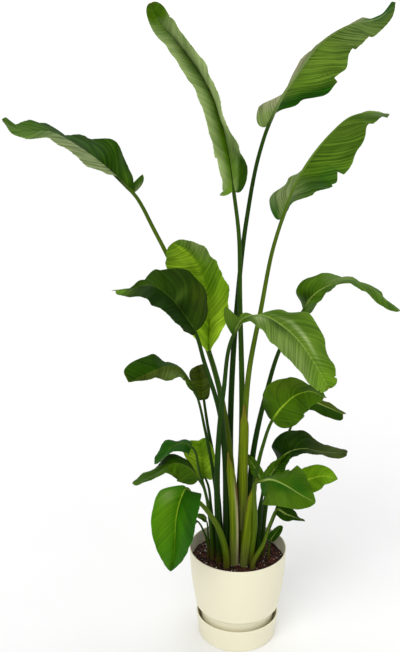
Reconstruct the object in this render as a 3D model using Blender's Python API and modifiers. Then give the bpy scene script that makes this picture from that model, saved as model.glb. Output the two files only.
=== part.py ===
"""A white bird of paradise (a Strelitzia with paddle leaves on long stalks) growing in a round pot
that stands in its own deep saucer. Metres, +Z up, the front of the plant faces -Y.

Run it with: blender --background --python part.py
"""

import math
from dataclasses import dataclass

import bmesh
import bpy
import numpy as np

# ---- driving dimensions, in metres ----
POT_HEIGHT = 0.295
RIM_RADIUS = 0.1475
WAIST_RADIUS = 0.129
WAIST_HEIGHT = 0.102
POT_WALL = 0.003
FOOT_RADIUS = 0.107
FOOT_TOP = 0.094
POT_FLOOR = 0.012

SAUCER_RIM_RADIUS = 0.126
SAUCER_HEIGHT = 0.0745
SAUCER_BASE_RADIUS = 0.1187
SAUCER_WALL = 0.0028
SAUCER_FLOOR = 0.004
EDGE_ROUND = 0.0045

SOIL_HEIGHT = 0.255
GAP = 0.0004
JOINT_GAP = 0.0009

TURN_STEPS = 32
DRAIN_HOLES = 6
DRAIN_RADIUS = 0.006
DRAIN_CIRCLE = 0.055

BLADE_THICKNESS = 0.0015
SHEATH_THICKNESS = 0.0022
STALK_STEPS = 9

FRONT = np.array([0.0, -1.0, 0.0])


@dataclass
class Leaf:
    """One paddle leaf. The stalk rises from its base on the soil to the blade; the rib runs on to the tip.

    half_width is the blade's, from rib to edge. right and left are how far each half is turned
    out of the plane that faces the front, in degrees, at even steps from base to tip: 0 is flat
    to the front, +90 folds straight forwards, -90 straight back. right is the right-hand half
    when the tip points up. lobe is how far the rounded base reaches back past the top of the stalk,
    and foot and neck are the stalk's radius at the soil and at the blade. trim_right and trim_left
    are the shares of its full width that each half keeps, at even steps from base to tip.
    """

    name: str
    base: tuple
    stalk: list
    rib: list
    half_width: float
    right: tuple
    left: tuple
    foot: float = 0.0095
    neck: float = 0.0045
    widest: float = 0.42
    lobe: float = 0.45
    trim_right: tuple = (1,)
    trim_left: tuple = (1,)


LEAVES = [
    Leaf(
        "far_left", base=(-.0125, -.017),
        stalk=[(-.015, 0, .45), (-.027, .025, .6), (-.075, .045, .855), (-.145, .065, 1.045),
               (-.245, .07, 1.26)],
        rib=[(-.3, .06, 1.365), (-.34, .05, 1.41), (-.385, .03, 1.455), (-.435, .01, 1.495),
             (-.51, -.02, 1.54), (-.58, -.05, 1.545), (-.62, -.07, 1.57)],
        half_width=.085, right=(-20, -58, -40, -78, -98, -92, -75, -76, -66),
        left=(100, 92, 78, 79, 84, 82, 78, 83, 88), lobe=.12,
        trim_right=(1.5, 1, 1, 1, 1, 1, 1, .9, .3), trim_left=(.3, .3, .6, 1, 1, 1, 1, .9, .5)),
    Leaf(
        "top_left", base=(-.004, .014),
        stalk=[(.008, .018, .67), (-.003, .015, 1.07), (-.01, .01, 1.27)],
        rib=[(-.025, 0, 1.38), (-.042, -.01, 1.49), (-.073, -.02, 1.61), (-.118, -.03, 1.692),
             (-.17, -.05, 1.76), (-.215, -.08, 1.81), (-.235, -.12, 1.853)],
        half_width=.078, right=(35, 45, 66, 86, 78, 72, 68, 46, 10), left=(40, 52, 50, 54, 57, 58, 58, 40, 0),
        trim_right=(.8, 1, 1, 1, 1, 1, 1, 1, 1.2), trim_left=(1.7, .8, .8, .85, .8, .9, .85, .75, .8)),
    Leaf(
        "top_right", base=(-.014, .045),
        stalk=[(-.025, .055, .625), (-.01, .065, 1.03), (.015, .07, 1.29), (.05, .08, 1.48)],
        rib=[(.07, .08, 1.545), (.1, .09, 1.61), (.15, .09, 1.685), (.21, .08, 1.765),
             (.285, .06, 1.81), (.35, .03, 1.825), (.38, 0, 1.855)],
        half_width=.103, right=(-86, -80, -38, -8, -8, -36, -46, -66, -96),
        left=(-45, -55, -80, -84, -92, -98, -84, -72, -70),
        trim_right=(.6, .45, .7, 1, 1, .95, .85, .7, .6), trim_left=(.75, .85, .3, .8, .8, .5, .6, .75, .5)),
    Leaf(
        "upper_right", base=(.014, -.012),
        stalk=[(.012, -.02, .66), (.025, -.015, .875), (.055, 0, 1.045), (.09, .02, 1.23)],
        rib=[(.11, .02, 1.3), (.135, .02, 1.375), (.185, .01, 1.47), (.235, 0, 1.535),
             (.275, -.02, 1.575), (.315, -.05, 1.59), (.355, -.08, 1.59)],
        half_width=.1, right=(-84, -74, -40, -8, -5, -20, -46, -66, -80),
        left=(-36, -48, -78, -98, -104, -106, -106, -100, -96), widest=.5,
        trim_right=(.7, .85, 1, 1, 1.02, .95, .85, .75, .3),
        trim_left=(.6, .95, .75, .35, .3, .3, .3, .3, .3)),
    Leaf(
        "mid_left", base=(-.036, -.018),
        stalk=[(-.04, -.03, .56), (-.06, -.05, .755), (-.105, -.075, .92)],
        rib=[(-.13, -.09, 1.01), (-.16, -.11, 1.065), (-.2, -.14, 1.125), (-.24, -.17, 1.16),
             (-.295, -.2, 1.16), (-.33, -.22, 1.16)],
        half_width=.092, right=(-34, -20, -14, -36, -74, -102, -106, -98, -92),
        left=(86, 86, 84, 82, 80, 72, 78, 80, 82), lobe=.2,
        trim_right=(1, .95, 1, 1, .78, .3, .3, .3, .5), trim_left=(.4, .8, 1, 1, 1, .9, .7, .8, 1)),
    Leaf(
        "mid_left_back", base=(-.037, .018),
        stalk=[(-.045, .004, .635), (-.065, -.005, .83)],
        rib=[(-.09, -.005, .935), (-.09, .02, 1.025), (-.1, .02, 1.105), (-.125, .01, 1.175),
             (-.155, -.02, 1.22), (-.19, -.06, 1.25)],
        half_width=.095, right=(78, 66, 54, 50, 46, 42, 34), left=(70, 50, 25, 15, 12, 5, 0),
        trim_right=(.5, 1, 1, 1, 1, 1.05, 1.2), trim_left=(.4, 1, 1, 1, 1, 1, 1)),
    Leaf(
        "mid_front", base=(-.058, -.03),
        stalk=[(-.066, -.055, .575), (-.05, -.09, .84)],
        rib=[(-.025, -.13, 1.015), (0, -.15, 1.065), (.045, -.18, 1.083), (.1, -.22, 1.063),
             (.142, -.26, 1.03), (.174, -.28, .985), (.21, -.3, .925)],
        half_width=.075, right=(76, 92, 84, 67, 56, 48, 43, 33, 25),
        left=(-10, -30, -96, -66, -38, -44, -50, -32, -10), lobe=.3,
        trim_right=(.3, .3, .5, .8, .92, .92, .92, .95, 1.2), trim_left=(1, .7, .3, .75, 1, 1, 1, 1, 1.25)),
    Leaf(
        "right_drooping", base=(.038, .014),
        stalk=[(.045, .045, .59), (.08, .07, .76), (.125, .09, .91)],
        rib=[(.19, .11, 1.015), (.21, .1, 1.055), (.255, .08, 1.095), (.305, .05, 1.115),
             (.365, .02, 1.105), (.405, -.01, 1.075), (.435, -.04, 1.055)],
        half_width=.068, right=(74, 74, 82, 96, 104, 86, 72, 66, 70),
        left=(-80, -25, -66, -98, -106, -100, -94, -90, -92), lobe=.3),
    Leaf(
        "mid_right", base=(.0165, -.046),
        stalk=[(.038, -.046, .48), (.065, -.052, .65)],
        rib=[(.09, -.06, .735), (.12, -.08, .79), (.155, -.1, .83), (.19, -.13, .85),
             (.22, -.16, .845)],
        half_width=.065, right=(21, 21, 25, 35, 40, 50, 52, 45, 60),
        left=(-60, -45, -30, -15, -52, -104, -108, -102, -95), foot=.008, neck=.004,
        trim_left=(1, 1.1, 1.12, 1.1, .95, .7, .7, .7, .8)),
    Leaf(
        "mid_right_back", base=(.055, .037),
        stalk=[(.105, .09, .47), (.16, .12, .625)],
        rib=[(.195, .12, .708), (.232, .11, .722), (.266, .1, .712), (.296, .09, .702), (.316, .08, .696)],
        half_width=.03, right=(30, 35, 40, 40, 40), left=(-50, -55, -70, -80, -80), foot=.006,
        neck=.003, widest=.62,
        trim_left=(1, 1, .8, .7, .6)),
    Leaf(
        "low_right_long", base=(.077, .036),
        stalk=[(.09, .055, .42), (.105, .068, .49)],
        rib=[(.125, .07, .545), (.155, .06, .58), (.195, .05, .595), (.25, .03, .595),
             (.32, .01, .6)],
        half_width=.065, right=(78, 85, 93, 99, 105, 105, 99, 89, 85),
        left=(-85, -35, -28, -54, -83, -92, -98, -98, -96), foot=.006, neck=.004,
        trim_right=(.3, .6, 1, 1, 1, 1, 1, 1, 1)),
    Leaf(
        "low_right_small", base=(.058, -.008),
        stalk=[(.066, -.004, .4), (.07, -.01, .465)],
        rib=[(.08, -.02, .515), (.095, -.03, .555), (.115, -.03, .585), (.145, -.03, .62)],
        half_width=.032, right=(30, 20, 30, 60, 65), left=(60, 30, 30, 50, 60), foot=.004, neck=.0025),
    Leaf(
        "low_right_front", base=(.038, -.034),
        stalk=[(.047, -.06, .415), (.042, -.088, .51), (.042, -.1, .557)],
        rib=[(.055, -.112, .57), (.085, -.14, .59), (.12, -.17, .588), (.163, -.19, .568),
             (.203, -.2, .55)],
        half_width=.075, right=(22, 22, 24, 27, 40, 45, 45, 55, 75),
        left=(-117, -122, -119, -105, -75, -52, -56, -66, -80), foot=.007, neck=.004, widest=.36, lobe=.6),
    Leaf(
        "low_right_back", base=(.077, .008),
        stalk=[(.11, 0, .4), (.145, -.02, .5)],
        rib=[(.175, -.03, .52), (.205, -.05, .545), (.24, -.07, .565), (.28, -.09, .565)],
        half_width=.04, right=(26, 26, 35, 55, 75), left=(-95, -55, -50, -60, -75), foot=.005,
        neck=.003, widest=.34),
    Leaf(
        "low_right_hidden", base=(.057, .012),
        stalk=[(.064, .016, .4)],
        rib=[(.07, .02, .5), (.05, .02, .545), (.02, .022, .59)],
        half_width=.018, right=(-20, -30, -20), left=(40,), foot=.004, neck=.0025),
    Leaf(
        "rim_right", base=(.043, -.061),
        stalk=[(.075, -.045, .33), (.095, -.035, .395)],
        rib=[(.115, -.03, .435), (.14, -.05, .43), (.165, -.07, .43), (.19, -.1, .435)],
        half_width=.024, right=(30, 40, 80, 60), left=(-50, -50, -90, -70), foot=.006, neck=.0025, widest=.32,
        trim_right=(.8, .85, .85, .85, .8, .5, .35, .35, .5), trim_left=(1, 1, 1, 1, .9, .6, .4, .6, .8)),
    Leaf(
        "rim_curled", base=(.094, -.008),
        stalk=[(.095, -.004, .29)],
        rib=[(.1, 0, .315), (.115, 0, .34), (.13, -.01, .37)],
        half_width=.025, right=(35,), left=(35,), foot=.004, neck=.0022,
        trim_right=(.6,)),
    Leaf(
        "low_left_arched", base=(-.054, -.003),
        stalk=[(-.078, -.02, .56), (-.1, -.04, .69)],
        rib=[(-.13, -.06, .825), (-.148, -.07, .868), (-.17, -.08, .9), (-.198, -.095, .913),
             (-.232, -.115, .91),
             (-.268, -.14, .902), (-.292, -.16, .897), (-.308, -.17, .893)],
        half_width=.05, right=(-109, -109, -109, -100, -46, -36, -30), left=(90, 82, 72, 60, 58, 88, 104),
        foot=.0065, neck=.003, widest=.7, lobe=.95),
    Leaf(
        "low_left_curled", base=(-.05, .045),
        stalk=[(-.08, .04, .6), (-.092, .035, .67)],
        rib=[(-.105, .03, .765), (-.11, .02, .805), (-.115, 0, .85), (-.125, -.03, .89)],
        half_width=.036, right=(20, 26, 20), left=(20, 30, 40), foot=.006, neck=.0035, widest=.66,
        trim_right=(.85,)),
    Leaf(
        "tuft_top", base=(-.072, .014),
        stalk=[(-.095, -.015, .46), (-.118, -.035, .565)],
        rib=[(-.14, -.05, .648), (-.16, -.06, .664), (-.195, -.08, .662), (-.22, -.1, .643),
             (-.24, -.12, .628)],
        half_width=.04, right=(-85, -109, -70, -78, -97), left=(25, 62, 82, 99, 97), foot=.005, neck=.003),
    Leaf(
        "tuft_bright", base=(-.07, .04),
        stalk=[(-.082, .045, .4), (-.092, .043, .48)],
        rib=[(-.1, .04, .505), (-.105, .038, .55), (-.113, .04, .59), (-.12, .045, .625)],
        half_width=.047, right=(40, 35, 30, 30), left=(40, 30, 20, 20), foot=.005, neck=.003, widest=.55,
        trim_left=(1, 1, 1, 1.2, 1.5)),
    Leaf(
        "tuft_long", base=(-.078, -.012),
        stalk=[(-.09, -.045, .435), (-.105, -.065, .525)],
        rib=[(-.12, -.08, .56), (-.145, -.1, .605), (-.185, -.12, .63), (-.245, -.15, .61),
             (-.3, -.18, .595)],
        half_width=.05, right=(-104, -99, -96, -90, -87, -92, -92, -95, -96),
        left=(26, 26, 26, 30, 45, 96, 102, 100, 92), foot=.006, neck=.003),
    Leaf(
        "low_left_hidden", base=(-.09, .016),
        stalk=[(-.102, .012, .33)],
        rib=[(-.128, .01, .375), (-.15, 0, .382), (-.172, -.01, .365), (-.182, -.02, .335)],
        half_width=.02, right=(-60, -40, -20), left=(80, 60, 40), foot=.0035, neck=.0022),
    Leaf(
        "low_left_tiny", base=(-.09, -.001),
        stalk=[(-.092, -.008, .345)],
        rib=[(-.098, -.012, .388), (-.11, -.016, .402), (-.128, -.02, .408)],
        half_width=.012, right=(-60,), left=(80,), foot=.0035, neck=.002),
    Leaf(
        "front_left", base=(-.036, -.052),
        stalk=[(-.062, -.08, .4), (-.096, -.118, .49), (-.132, -.152, .552)],
        rib=[(-.156, -.17, .576), (-.171, -.198, .553), (-.182, -.216, .507), (-.185, -.222, .451),
             (-.187, -.22, .407), (-.194, -.216, .366), (-.199, -.21, .338)],
        half_width=.073, right=(14, 14, 12, 14, 18, 24, 28, 30, 30),
        left=(28, 30, 34, 40, 44, 48, 52, 55, 60), foot=.0085, neck=.004, widest=.3, lobe=.02,
        trim_right=(.55, 1.1, .97, .93, .9, .88, .85, .8, .8),
        trim_left=(1.6, 1.12, .9, .85, .85, .8, .75, .7, .7)),
]


@dataclass
class Sheath:
    """An old leaf base that clasps the stalks: part of a tube that narrows to a point at its top.

    toward is the side it faces, in degrees round from the front, and spread is how far it reaches
    round to either side of that, both at even steps from bottom to top.
    """

    name: str
    middle: list
    radius: tuple
    toward: tuple
    spread: tuple


SHEATHS = [
    Sheath("left", middle=[(-.0125, -.04, SOIL_HEIGHT + GAP), (-.0155, -.046, .44), (-.028, -.05, .6)],
           radius=(.0128, .0122, .0115), toward=(0, 0, -30), spread=(115, 110, 8)),
    Sheath("right", middle=[(.0165, -.046, SOIL_HEIGHT + GAP), (.026, -.046, .38), (.0395, -.046, .5)],
           radius=(.0118, .0115, .011), toward=(0, 20, 60), spread=(125, 115, 8)),
    Sheath("tall", middle=[(.0135, -.0155, .36), (.012, -.0205, .62), (.0145, -.0195, .735)],
           radius=(.0115, .0125, .0115), toward=(0, 0, -30), spread=(120, 130, 8)),
]


# ---- the shape of a leaf ----
def smooth_path(before, points, after, count):
    """count + 1 points evenly spaced on a smooth curve through the given points, aimed by those around."""
    given = np.array([before, *points, after], float)
    knots = np.concatenate([[0], np.cumsum(np.linalg.norm(np.diff(given, axis=0), axis=1))])
    slopes = np.gradient(given, knots, axis=0)[1:-1]
    given, knots = given[1:-1], knots[1:-1] - knots[1]
    fine = np.linspace(0, knots[-1], 30 * len(given))
    span = np.clip(np.searchsorted(knots, fine, side="right") - 1, 0, len(given) - 2)
    length = (knots[span + 1] - knots[span])[:, None]
    u = ((fine - knots[span]) / (knots[span + 1] - knots[span]))[:, None]
    curve = ((2 * u**3 - 3 * u**2 + 1) * given[span] + (u**3 - 2 * u**2 + u) * length * slopes[span]
             + (3 * u**2 - 2 * u**3) * given[span + 1] + (u**3 - u**2) * length * slopes[span + 1])
    along = np.concatenate([[0], np.cumsum(np.linalg.norm(np.diff(curve, axis=0), axis=1))])
    even = np.linspace(0, along[-1], count + 1)
    return np.stack([np.interp(even, along, curve[:, axis]) for axis in range(3)], axis=1)


def eased(values, t):
    """Values given at even steps from 0 to 1, read at t with a smooth ease between them."""
    if len(values) == 1:
        return np.full_like(t, values[0], dtype=float)
    place = t * (len(values) - 1)
    step = np.clip(place.astype(int), 0, len(values) - 2)
    share = place - step
    share = share * share * (3 - 2 * share)
    listed = np.array(values, float)
    return listed[step] * (1 - share) + listed[step + 1] * share


def unit(vectors):
    return vectors / np.linalg.norm(vectors, axis=-1, keepdims=True)


def outline(t, widest):
    """Half width of a blade as a share of its widest: round at the base and drawn to a point."""
    base_power = 0.45
    tip_power = base_power * (1 - widest) / widest
    return t**base_power * (1 - t)**tip_power / (widest**base_power * (1 - widest)**tip_power)


def stalk_path(leaf, count):
    """The middle of a stalk: it stands square on the soil and ends in line with the rib."""
    x, y = leaf.base
    given = [(x, y, SOIL_HEIGHT + GAP + 0.01), *leaf.stalk, leaf.rib[0]]
    path = smooth_path((x, y, SOIL_HEIGHT - 0.1), given, leaf.rib[1], 20 * count)
    aim = unit(path[-1] - path[-2])
    end = path[-1] - aim * JOINT_GAP
    return np.vstack([[x, y, SOIL_HEIGHT + GAP], path[:-1:20], end - aim * 2 * leaf.neck, end])


def stalk_radii(leaf, count):
    taper = (1 - np.arange(count) / count)**1.7
    return np.concatenate([[leaf.foot], leaf.neck + (leaf.foot - leaf.neck) * taper, [leaf.neck] * 2])


def blade_grid(leaf, rows, columns):
    """The blade's surface as rows from base to tip, each from the left edge to the right one."""
    t = np.linspace(0, 1, rows + 1)
    beyond = np.array(leaf.rib[-1]) * 2 - np.array(leaf.rib[-2])
    rib = smooth_path(leaf.stalk[-1], leaf.rib, beyond, 20 * rows)
    tangent = unit(np.gradient(rib, axis=0))[::20]
    rib = rib[::20]
    facing = unit(FRONT - tangent * (tangent @ FRONT)[:, None])
    side = np.cross(tangent, facing)
    paddle = leaf.half_width * outline(t, leaf.widest)
    width = np.maximum(paddle, leaf.neck * (1 - t)**4)
    halves = []
    for sign, turns, trims in ((-1, leaf.left, leaf.trim_left), (1, leaf.right, leaf.trim_right)):
        turn = np.radians(eased(turns, t))[:, None]
        broad = width * eased(trims, t)
        out = np.cos(turn) * sign * side + np.sin(turn) * facing
        half = []
        for reach in np.arange(1, columns + 1) / columns:
            sweep = paddle * reach**2 * (t - leaf.lobe)
            half.append(rib + out * (broad * reach)[:, None] + tangent * sweep[:, None])
        halves.append(half)
    left, right = halves
    return np.stack(left[::-1] + [rib] + right, axis=1)


def sheath_grid(sheath, rows, columns):
    """The sheath's surface as rows from bottom to top, each from its left edge to its right one."""
    t = np.linspace(0, 1, rows + 1)
    below = np.array(sheath.middle[0]) - (0, 0, 0.1)
    beyond = np.array(sheath.middle[-1]) * 2 - np.array(sheath.middle[-2])
    middle = smooth_path(below, sheath.middle, beyond, rows)
    radius = eased(sheath.radius, t)[:, None, None]
    across = np.linspace(-1, 1, columns + 1)[None, :]
    angle = np.radians(eased(sheath.toward, t)[:, None] + eased(sheath.spread, t)[:, None] * across)
    return middle[:, None, :] + radius * np.stack([np.sin(angle), -np.cos(angle), 0 * angle], axis=2)


# ---- Blender helpers ----
def clear_scene():
    for thing in list(bpy.data.objects):
        bpy.data.objects.remove(thing)


def material(name, colour, roughness):
    made = bpy.data.materials.new(name)
    made.use_nodes = True
    surface = made.node_tree.nodes["Principled BSDF"]
    surface.inputs["Base Color"].default_value = (*colour, 1)
    surface.inputs["Roughness"].default_value = roughness
    surface.inputs["Metallic"].default_value = 0
    return made


def add_object(name, data, made_of, collection):
    thing = bpy.data.objects.new(name, data)
    thing.data.materials.append(made_of)
    collection.objects.link(thing)
    return thing


def turned(name, profile, made_of, collection):
    """A turned solid: the profile's (radius, height) points run down the outside and back up the inside."""
    mesh = bpy.data.meshes.new(name)
    points = [(radius, 0, height) for radius, height in profile]
    mesh.from_pydata(points, [(i, i + 1) for i in range(len(points) - 1)], [])
    thing = add_object(name, mesh, made_of, collection)
    screw = thing.modifiers.new("turn", "SCREW")
    screw.steps = screw.render_steps = TURN_STEPS
    screw.use_merge_vertices = True
    screw.merge_threshold = 0.00005
    screw.use_smooth_shade = False
    return thing


def arc(centre, radius, start, end, steps):
    """Points on an arc in the (radius, height) plane, with angles in degrees."""
    angles = np.radians(np.linspace(start, end, steps + 1))
    return [(centre[0] + radius * math.cos(a), centre[1] + radius * math.sin(a)) for a in angles]


def surface_object(name, grid, thickness, made_of, collection):
    """A thin solid from a grid of points: an open lofted surface, thickened."""
    mesh = bpy.data.meshes.new(name)
    loft = bmesh.new()
    rows = [[loft.verts.new(point) for point in row] for row in grid]
    for lower, upper in zip(rows, rows[1:]):
        for column in range(len(lower) - 1):
            loft.faces.new((lower[column], lower[column + 1], upper[column + 1], upper[column]))
    bmesh.ops.remove_doubles(loft, verts=loft.verts, dist=0.0002)
    loft.to_mesh(mesh)
    loft.free()
    thing = add_object(name, mesh, made_of, collection)
    solid = thing.modifiers.new("thickness", "SOLIDIFY")
    solid.thickness = thickness
    solid.offset = 0
    return thing


def tapered_tube(name, points, radii, made_of, collection, sides_level=2):
    curve = bpy.data.curves.new(name, "CURVE")
    curve.dimensions = "3D"
    curve.bevel_depth = 1
    curve.bevel_resolution = sides_level
    curve.use_fill_caps = True
    spline = curve.splines.new("POLY")
    spline.points.add(len(points) - 1)
    for knot, point, radius in zip(spline.points, points, radii):
        knot.co = (*point, 1)
        knot.radius = radius
    return add_object(name, curve, made_of, collection)


# ---- the pot, its saucer and the soil ----
def pot_outside():
    """(radius, height) down the pot's outer wall: it leans in and bellies a little, then turns under."""
    wall = []
    for share in np.linspace(0, 1, 6):
        belly = 0.004 * math.sin(math.pi * share)
        radius = RIM_RADIUS + (WAIST_RADIUS - RIM_RADIUS) * share + belly
        wall.append((radius, POT_HEIGHT + (WAIST_HEIGHT + EDGE_ROUND * 2 - POT_HEIGHT) * share))
    turn_under = arc(
        (WAIST_RADIUS - EDGE_ROUND * 2, WAIST_HEIGHT + EDGE_ROUND * 2), EDGE_ROUND * 2, -15, -90, 4)
    return wall + turn_under + [(FOOT_RADIUS, FOOT_TOP), (FOOT_RADIUS - 0.002, SAUCER_FLOOR + GAP)]


def build_pot(made_of, collection, cutters):
    outer = pot_outside()
    inner_foot = FOOT_RADIUS - 0.002 - POT_WALL
    under = [(inner_foot, SAUCER_FLOOR + GAP), (inner_foot, POT_FLOOR), (0, POT_FLOOR)]
    inside = [(0, POT_FLOOR + POT_WALL), (inner_foot, POT_FLOOR + POT_WALL)]
    inside += [(radius - POT_WALL, height + 0.002) for radius, height in outer[-2:-6:-1]]
    inside += [(radius - POT_WALL, height) for radius, height in outer[5::-1]]
    pot = turned("pot", outer + under + inside + [outer[0]], made_of, collection)
    mesh = bpy.data.meshes.new("drain_cutters")
    holes = bmesh.new()
    for hole in range(DRAIN_HOLES):
        angle = 2 * math.pi * (hole + 0.5) / DRAIN_HOLES
        made = bmesh.ops.create_cone(holes, cap_ends=True, segments=8, radius1=DRAIN_RADIUS,
                                     radius2=DRAIN_RADIUS, depth=4 * POT_WALL)
        place = (DRAIN_CIRCLE * math.cos(angle), DRAIN_CIRCLE * math.sin(angle), POT_FLOOR + POT_WALL / 2)
        bmesh.ops.translate(holes, verts=made["verts"], vec=place)
    holes.to_mesh(mesh)
    holes.free()
    cutter = bpy.data.objects.new("drain_cutters", mesh)
    cutters.objects.link(cutter)
    cutter.hide_render = True
    cutter.display_type = "WIRE"
    cut = pot.modifiers.new("drain holes", "BOOLEAN")
    cut.operation = "DIFFERENCE"
    cut.object = cutter
    return inside


def build_saucer(made_of, collection):
    outer_wall = [(SAUCER_RIM_RADIUS, SAUCER_HEIGHT), (SAUCER_BASE_RADIUS, EDGE_ROUND)]
    corner = arc((SAUCER_BASE_RADIUS - EDGE_ROUND, EDGE_ROUND), EDGE_ROUND, 0, -90, 3)[1:]
    inner = [(0, SAUCER_FLOOR), (SAUCER_BASE_RADIUS - SAUCER_WALL - 0.002, SAUCER_FLOOR),
             (SAUCER_RIM_RADIUS - SAUCER_WALL, SAUCER_HEIGHT)]
    turned("saucer", outer_wall + corner + [(0, 0)] + inner + outer_wall[:1], made_of, collection)


def build_soil(made_of, collection, pot_inside):
    """The root ball: it fills the pot up to the soil line, just clear of the wall."""
    walls = sorted(
        ((radius - GAP, height) for radius, height in pot_inside if radius > 0),
        key=lambda p: -p[1])
    above = [p for p in walls if p[1] > SOIL_HEIGHT][-1]
    below = [p for p in walls if p[1] <= SOIL_HEIGHT]
    share = (SOIL_HEIGHT - below[0][1]) / (above[1] - below[0][1])
    edge = (below[0][0] + (above[0] - below[0][0]) * share, SOIL_HEIGHT)
    bottom = below[-1][1] + GAP
    profile = [(0, SOIL_HEIGHT), edge] + below[:-1] + [(below[-1][0], bottom), (0, bottom)]
    turned("soil", profile, made_of, collection)


# ---- the plant ----
def build_leaf(leaf, blade_green, stalk_green, collection):
    rows, columns, sides_level = (12, 3, 2) if leaf.half_width > 0.06 else (8, 2, 1)
    path, radii = stalk_path(leaf, STALK_STEPS), stalk_radii(leaf, STALK_STEPS)
    tapered_tube("stalk_" + leaf.name, path, radii, stalk_green, collection, sides_level)
    grid = blade_grid(leaf, rows, columns)
    surface_object("blade_" + leaf.name, grid, BLADE_THICKNESS, blade_green, collection)


def build_sheath(sheath, sheath_green, collection):
    grid = sheath_grid(sheath, 8, 8)
    surface_object("sheath_" + sheath.name, grid, SHEATH_THICKNESS, sheath_green, collection)


def main():
    clear_scene()
    plant = bpy.data.collections.new("potted_bird_of_paradise")
    cutters = bpy.data.collections.new("cutters")
    for collection in (plant, cutters):
        bpy.context.scene.collection.children.link(collection)
    cream = material("cream_plastic", (0.84, 0.82, 0.66), 0.45)
    earth = material("potting_soil", (0.10, 0.045, 0.03), 0.95)
    blade_green = material("leaf_green", (0.09, 0.24, 0.03), 0.35)
    stalk_green = material("stalk_green", (0.10, 0.19, 0.03), 0.45)
    pot_inside = build_pot(cream, plant, cutters)
    build_saucer(cream, plant)
    build_soil(earth, plant, pot_inside)
    sheath_green = material("sheath_green", (0.26, 0.33, 0.08), 0.5)
    for leaf in LEAVES:
        build_leaf(leaf, blade_green, stalk_green, plant)
    for sheath in SHEATHS:
        build_sheath(sheath, sheath_green, plant)


main()
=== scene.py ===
import math
from dataclasses import dataclass

import bpy
import numpy as np
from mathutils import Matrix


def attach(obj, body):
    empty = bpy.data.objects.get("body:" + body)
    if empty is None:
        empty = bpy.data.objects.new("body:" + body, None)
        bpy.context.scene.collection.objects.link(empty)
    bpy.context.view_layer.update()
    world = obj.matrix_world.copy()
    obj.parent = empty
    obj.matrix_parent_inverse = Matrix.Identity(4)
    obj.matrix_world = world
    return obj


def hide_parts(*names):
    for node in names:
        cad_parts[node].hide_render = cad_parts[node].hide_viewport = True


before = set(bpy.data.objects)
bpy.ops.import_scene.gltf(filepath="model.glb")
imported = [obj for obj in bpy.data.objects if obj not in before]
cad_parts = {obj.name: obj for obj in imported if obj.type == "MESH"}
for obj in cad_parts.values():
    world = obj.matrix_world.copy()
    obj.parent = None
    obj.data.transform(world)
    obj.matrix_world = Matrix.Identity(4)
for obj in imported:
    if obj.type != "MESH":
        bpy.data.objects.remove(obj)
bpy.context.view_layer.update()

POT_HEIGHT = 0.295
RIM_RADIUS = 0.1475
WAIST_RADIUS = 0.129
WAIST_HEIGHT = 0.102
POT_WALL = 0.003
POT_BELLY = 0.004
FOOT_RADIUS = 0.107
FOOT_TOP = 0.094
FOOT_BEND_HEIGHT = 0.07
FOOT_FLARE = 0.009
FOOT_GAP = 0.0004
POT_FLOOR = 0.012
SAUCER_RIM_RADIUS = 0.126
SAUCER_HEIGHT = 0.0745
SAUCER_BASE_RADIUS = 0.1187
SAUCER_WALL = 0.0028
SAUCER_FLOOR = 0.004
EDGE_ROUND = 0.0045
SOIL_HEIGHT = 0.255

BLADE_THICKNESS = 0.0008
TIP_HALF_WIDTH = 0.0005
VEIN_SLOPE = 0.62
VEIN_CURL = 0.35
PLEAT_LENGTH = 0.0125
FLUTTER_LENGTH = 0.085
RIDGE_PAINT_WIDTH = 0.0042
GROOVE_PAINT_WIDTH = 0.0026
DRY_TIP_START = 0.985
# How much thicker a stalk is halfway up and at its top than a plain taper would make it.
STALK_BULGE = 0.28
STALK_TOP_GAIN = 0.15
STALK_SUNK = 0.012
FRONT = np.array([0.0, -1.0, 0.0])

FOCAL_LENGTH = 48.98
CAMERA_PLACE = (-0.116, -2.4, 1.737)
CAMERA_TILT = 72.9
ROOM_LIGHT = 0.42
BACKDROP_WHITE = 1.1

# Greens and other finishes as they look in even light, 0 to 255. Some also stand in for light and shade
# on the leaves: the dark rib paint is painted shade in a rib's groove, pale is painted highlight and
# painted light on shaded halves, and bright paints the glow of light through mid_left_back.
PAINTS = {
    "shade": (18, 46, 4), "deep": (34, 68, 4), "dusk": (40, 68, 4), "olive": (62, 80, 12),
    "leaf": (62, 98, 6), "moss": (88, 120, 36), "fresh": (92, 134, 14), "lime": (126, 166, 30),
    "sage": (110, 134, 72), "silver": (122, 138, 92), "blush": (138, 142, 108), "rib_pale": (140, 166, 82),
    "rib_lime": (146, 180, 44), "rib_dim": (74, 98, 26), "rib_dark": (30, 52, 8), "dry": (130, 104, 50),
    "stalk": (44, 76, 10), "stalk_dark": (20, 52, 6), "stalk_light": (84, 108, 18), "sheath": (100, 122, 14),
    "sheath_foot": (96, 104, 50), "bark": (76, 40, 25), "bark_red": (92, 46, 30), "soil": (44, 22, 15),
    "soil_dark": (15, 8, 6), "perlite": (236, 231, 222), "emerald": (58, 114, 6), "jade": (30, 82, 8),
    "pale": (150, 172, 112), "bright": (160, 200, 44), "paper": (168, 164, 128), "husk": (112, 70, 46),
    "cream": (239, 234, 207), "cream_deep": (235, 230, 201),
}

# What the meshes carry at their points: the kind of value and Blender's field for it.
LAYERS = {
    "tint": ("FLOAT_COLOR", "color"), "veins": ("FLOAT_VECTOR", "vector"), "stripes": ("FLOAT", "value"),
}


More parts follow.
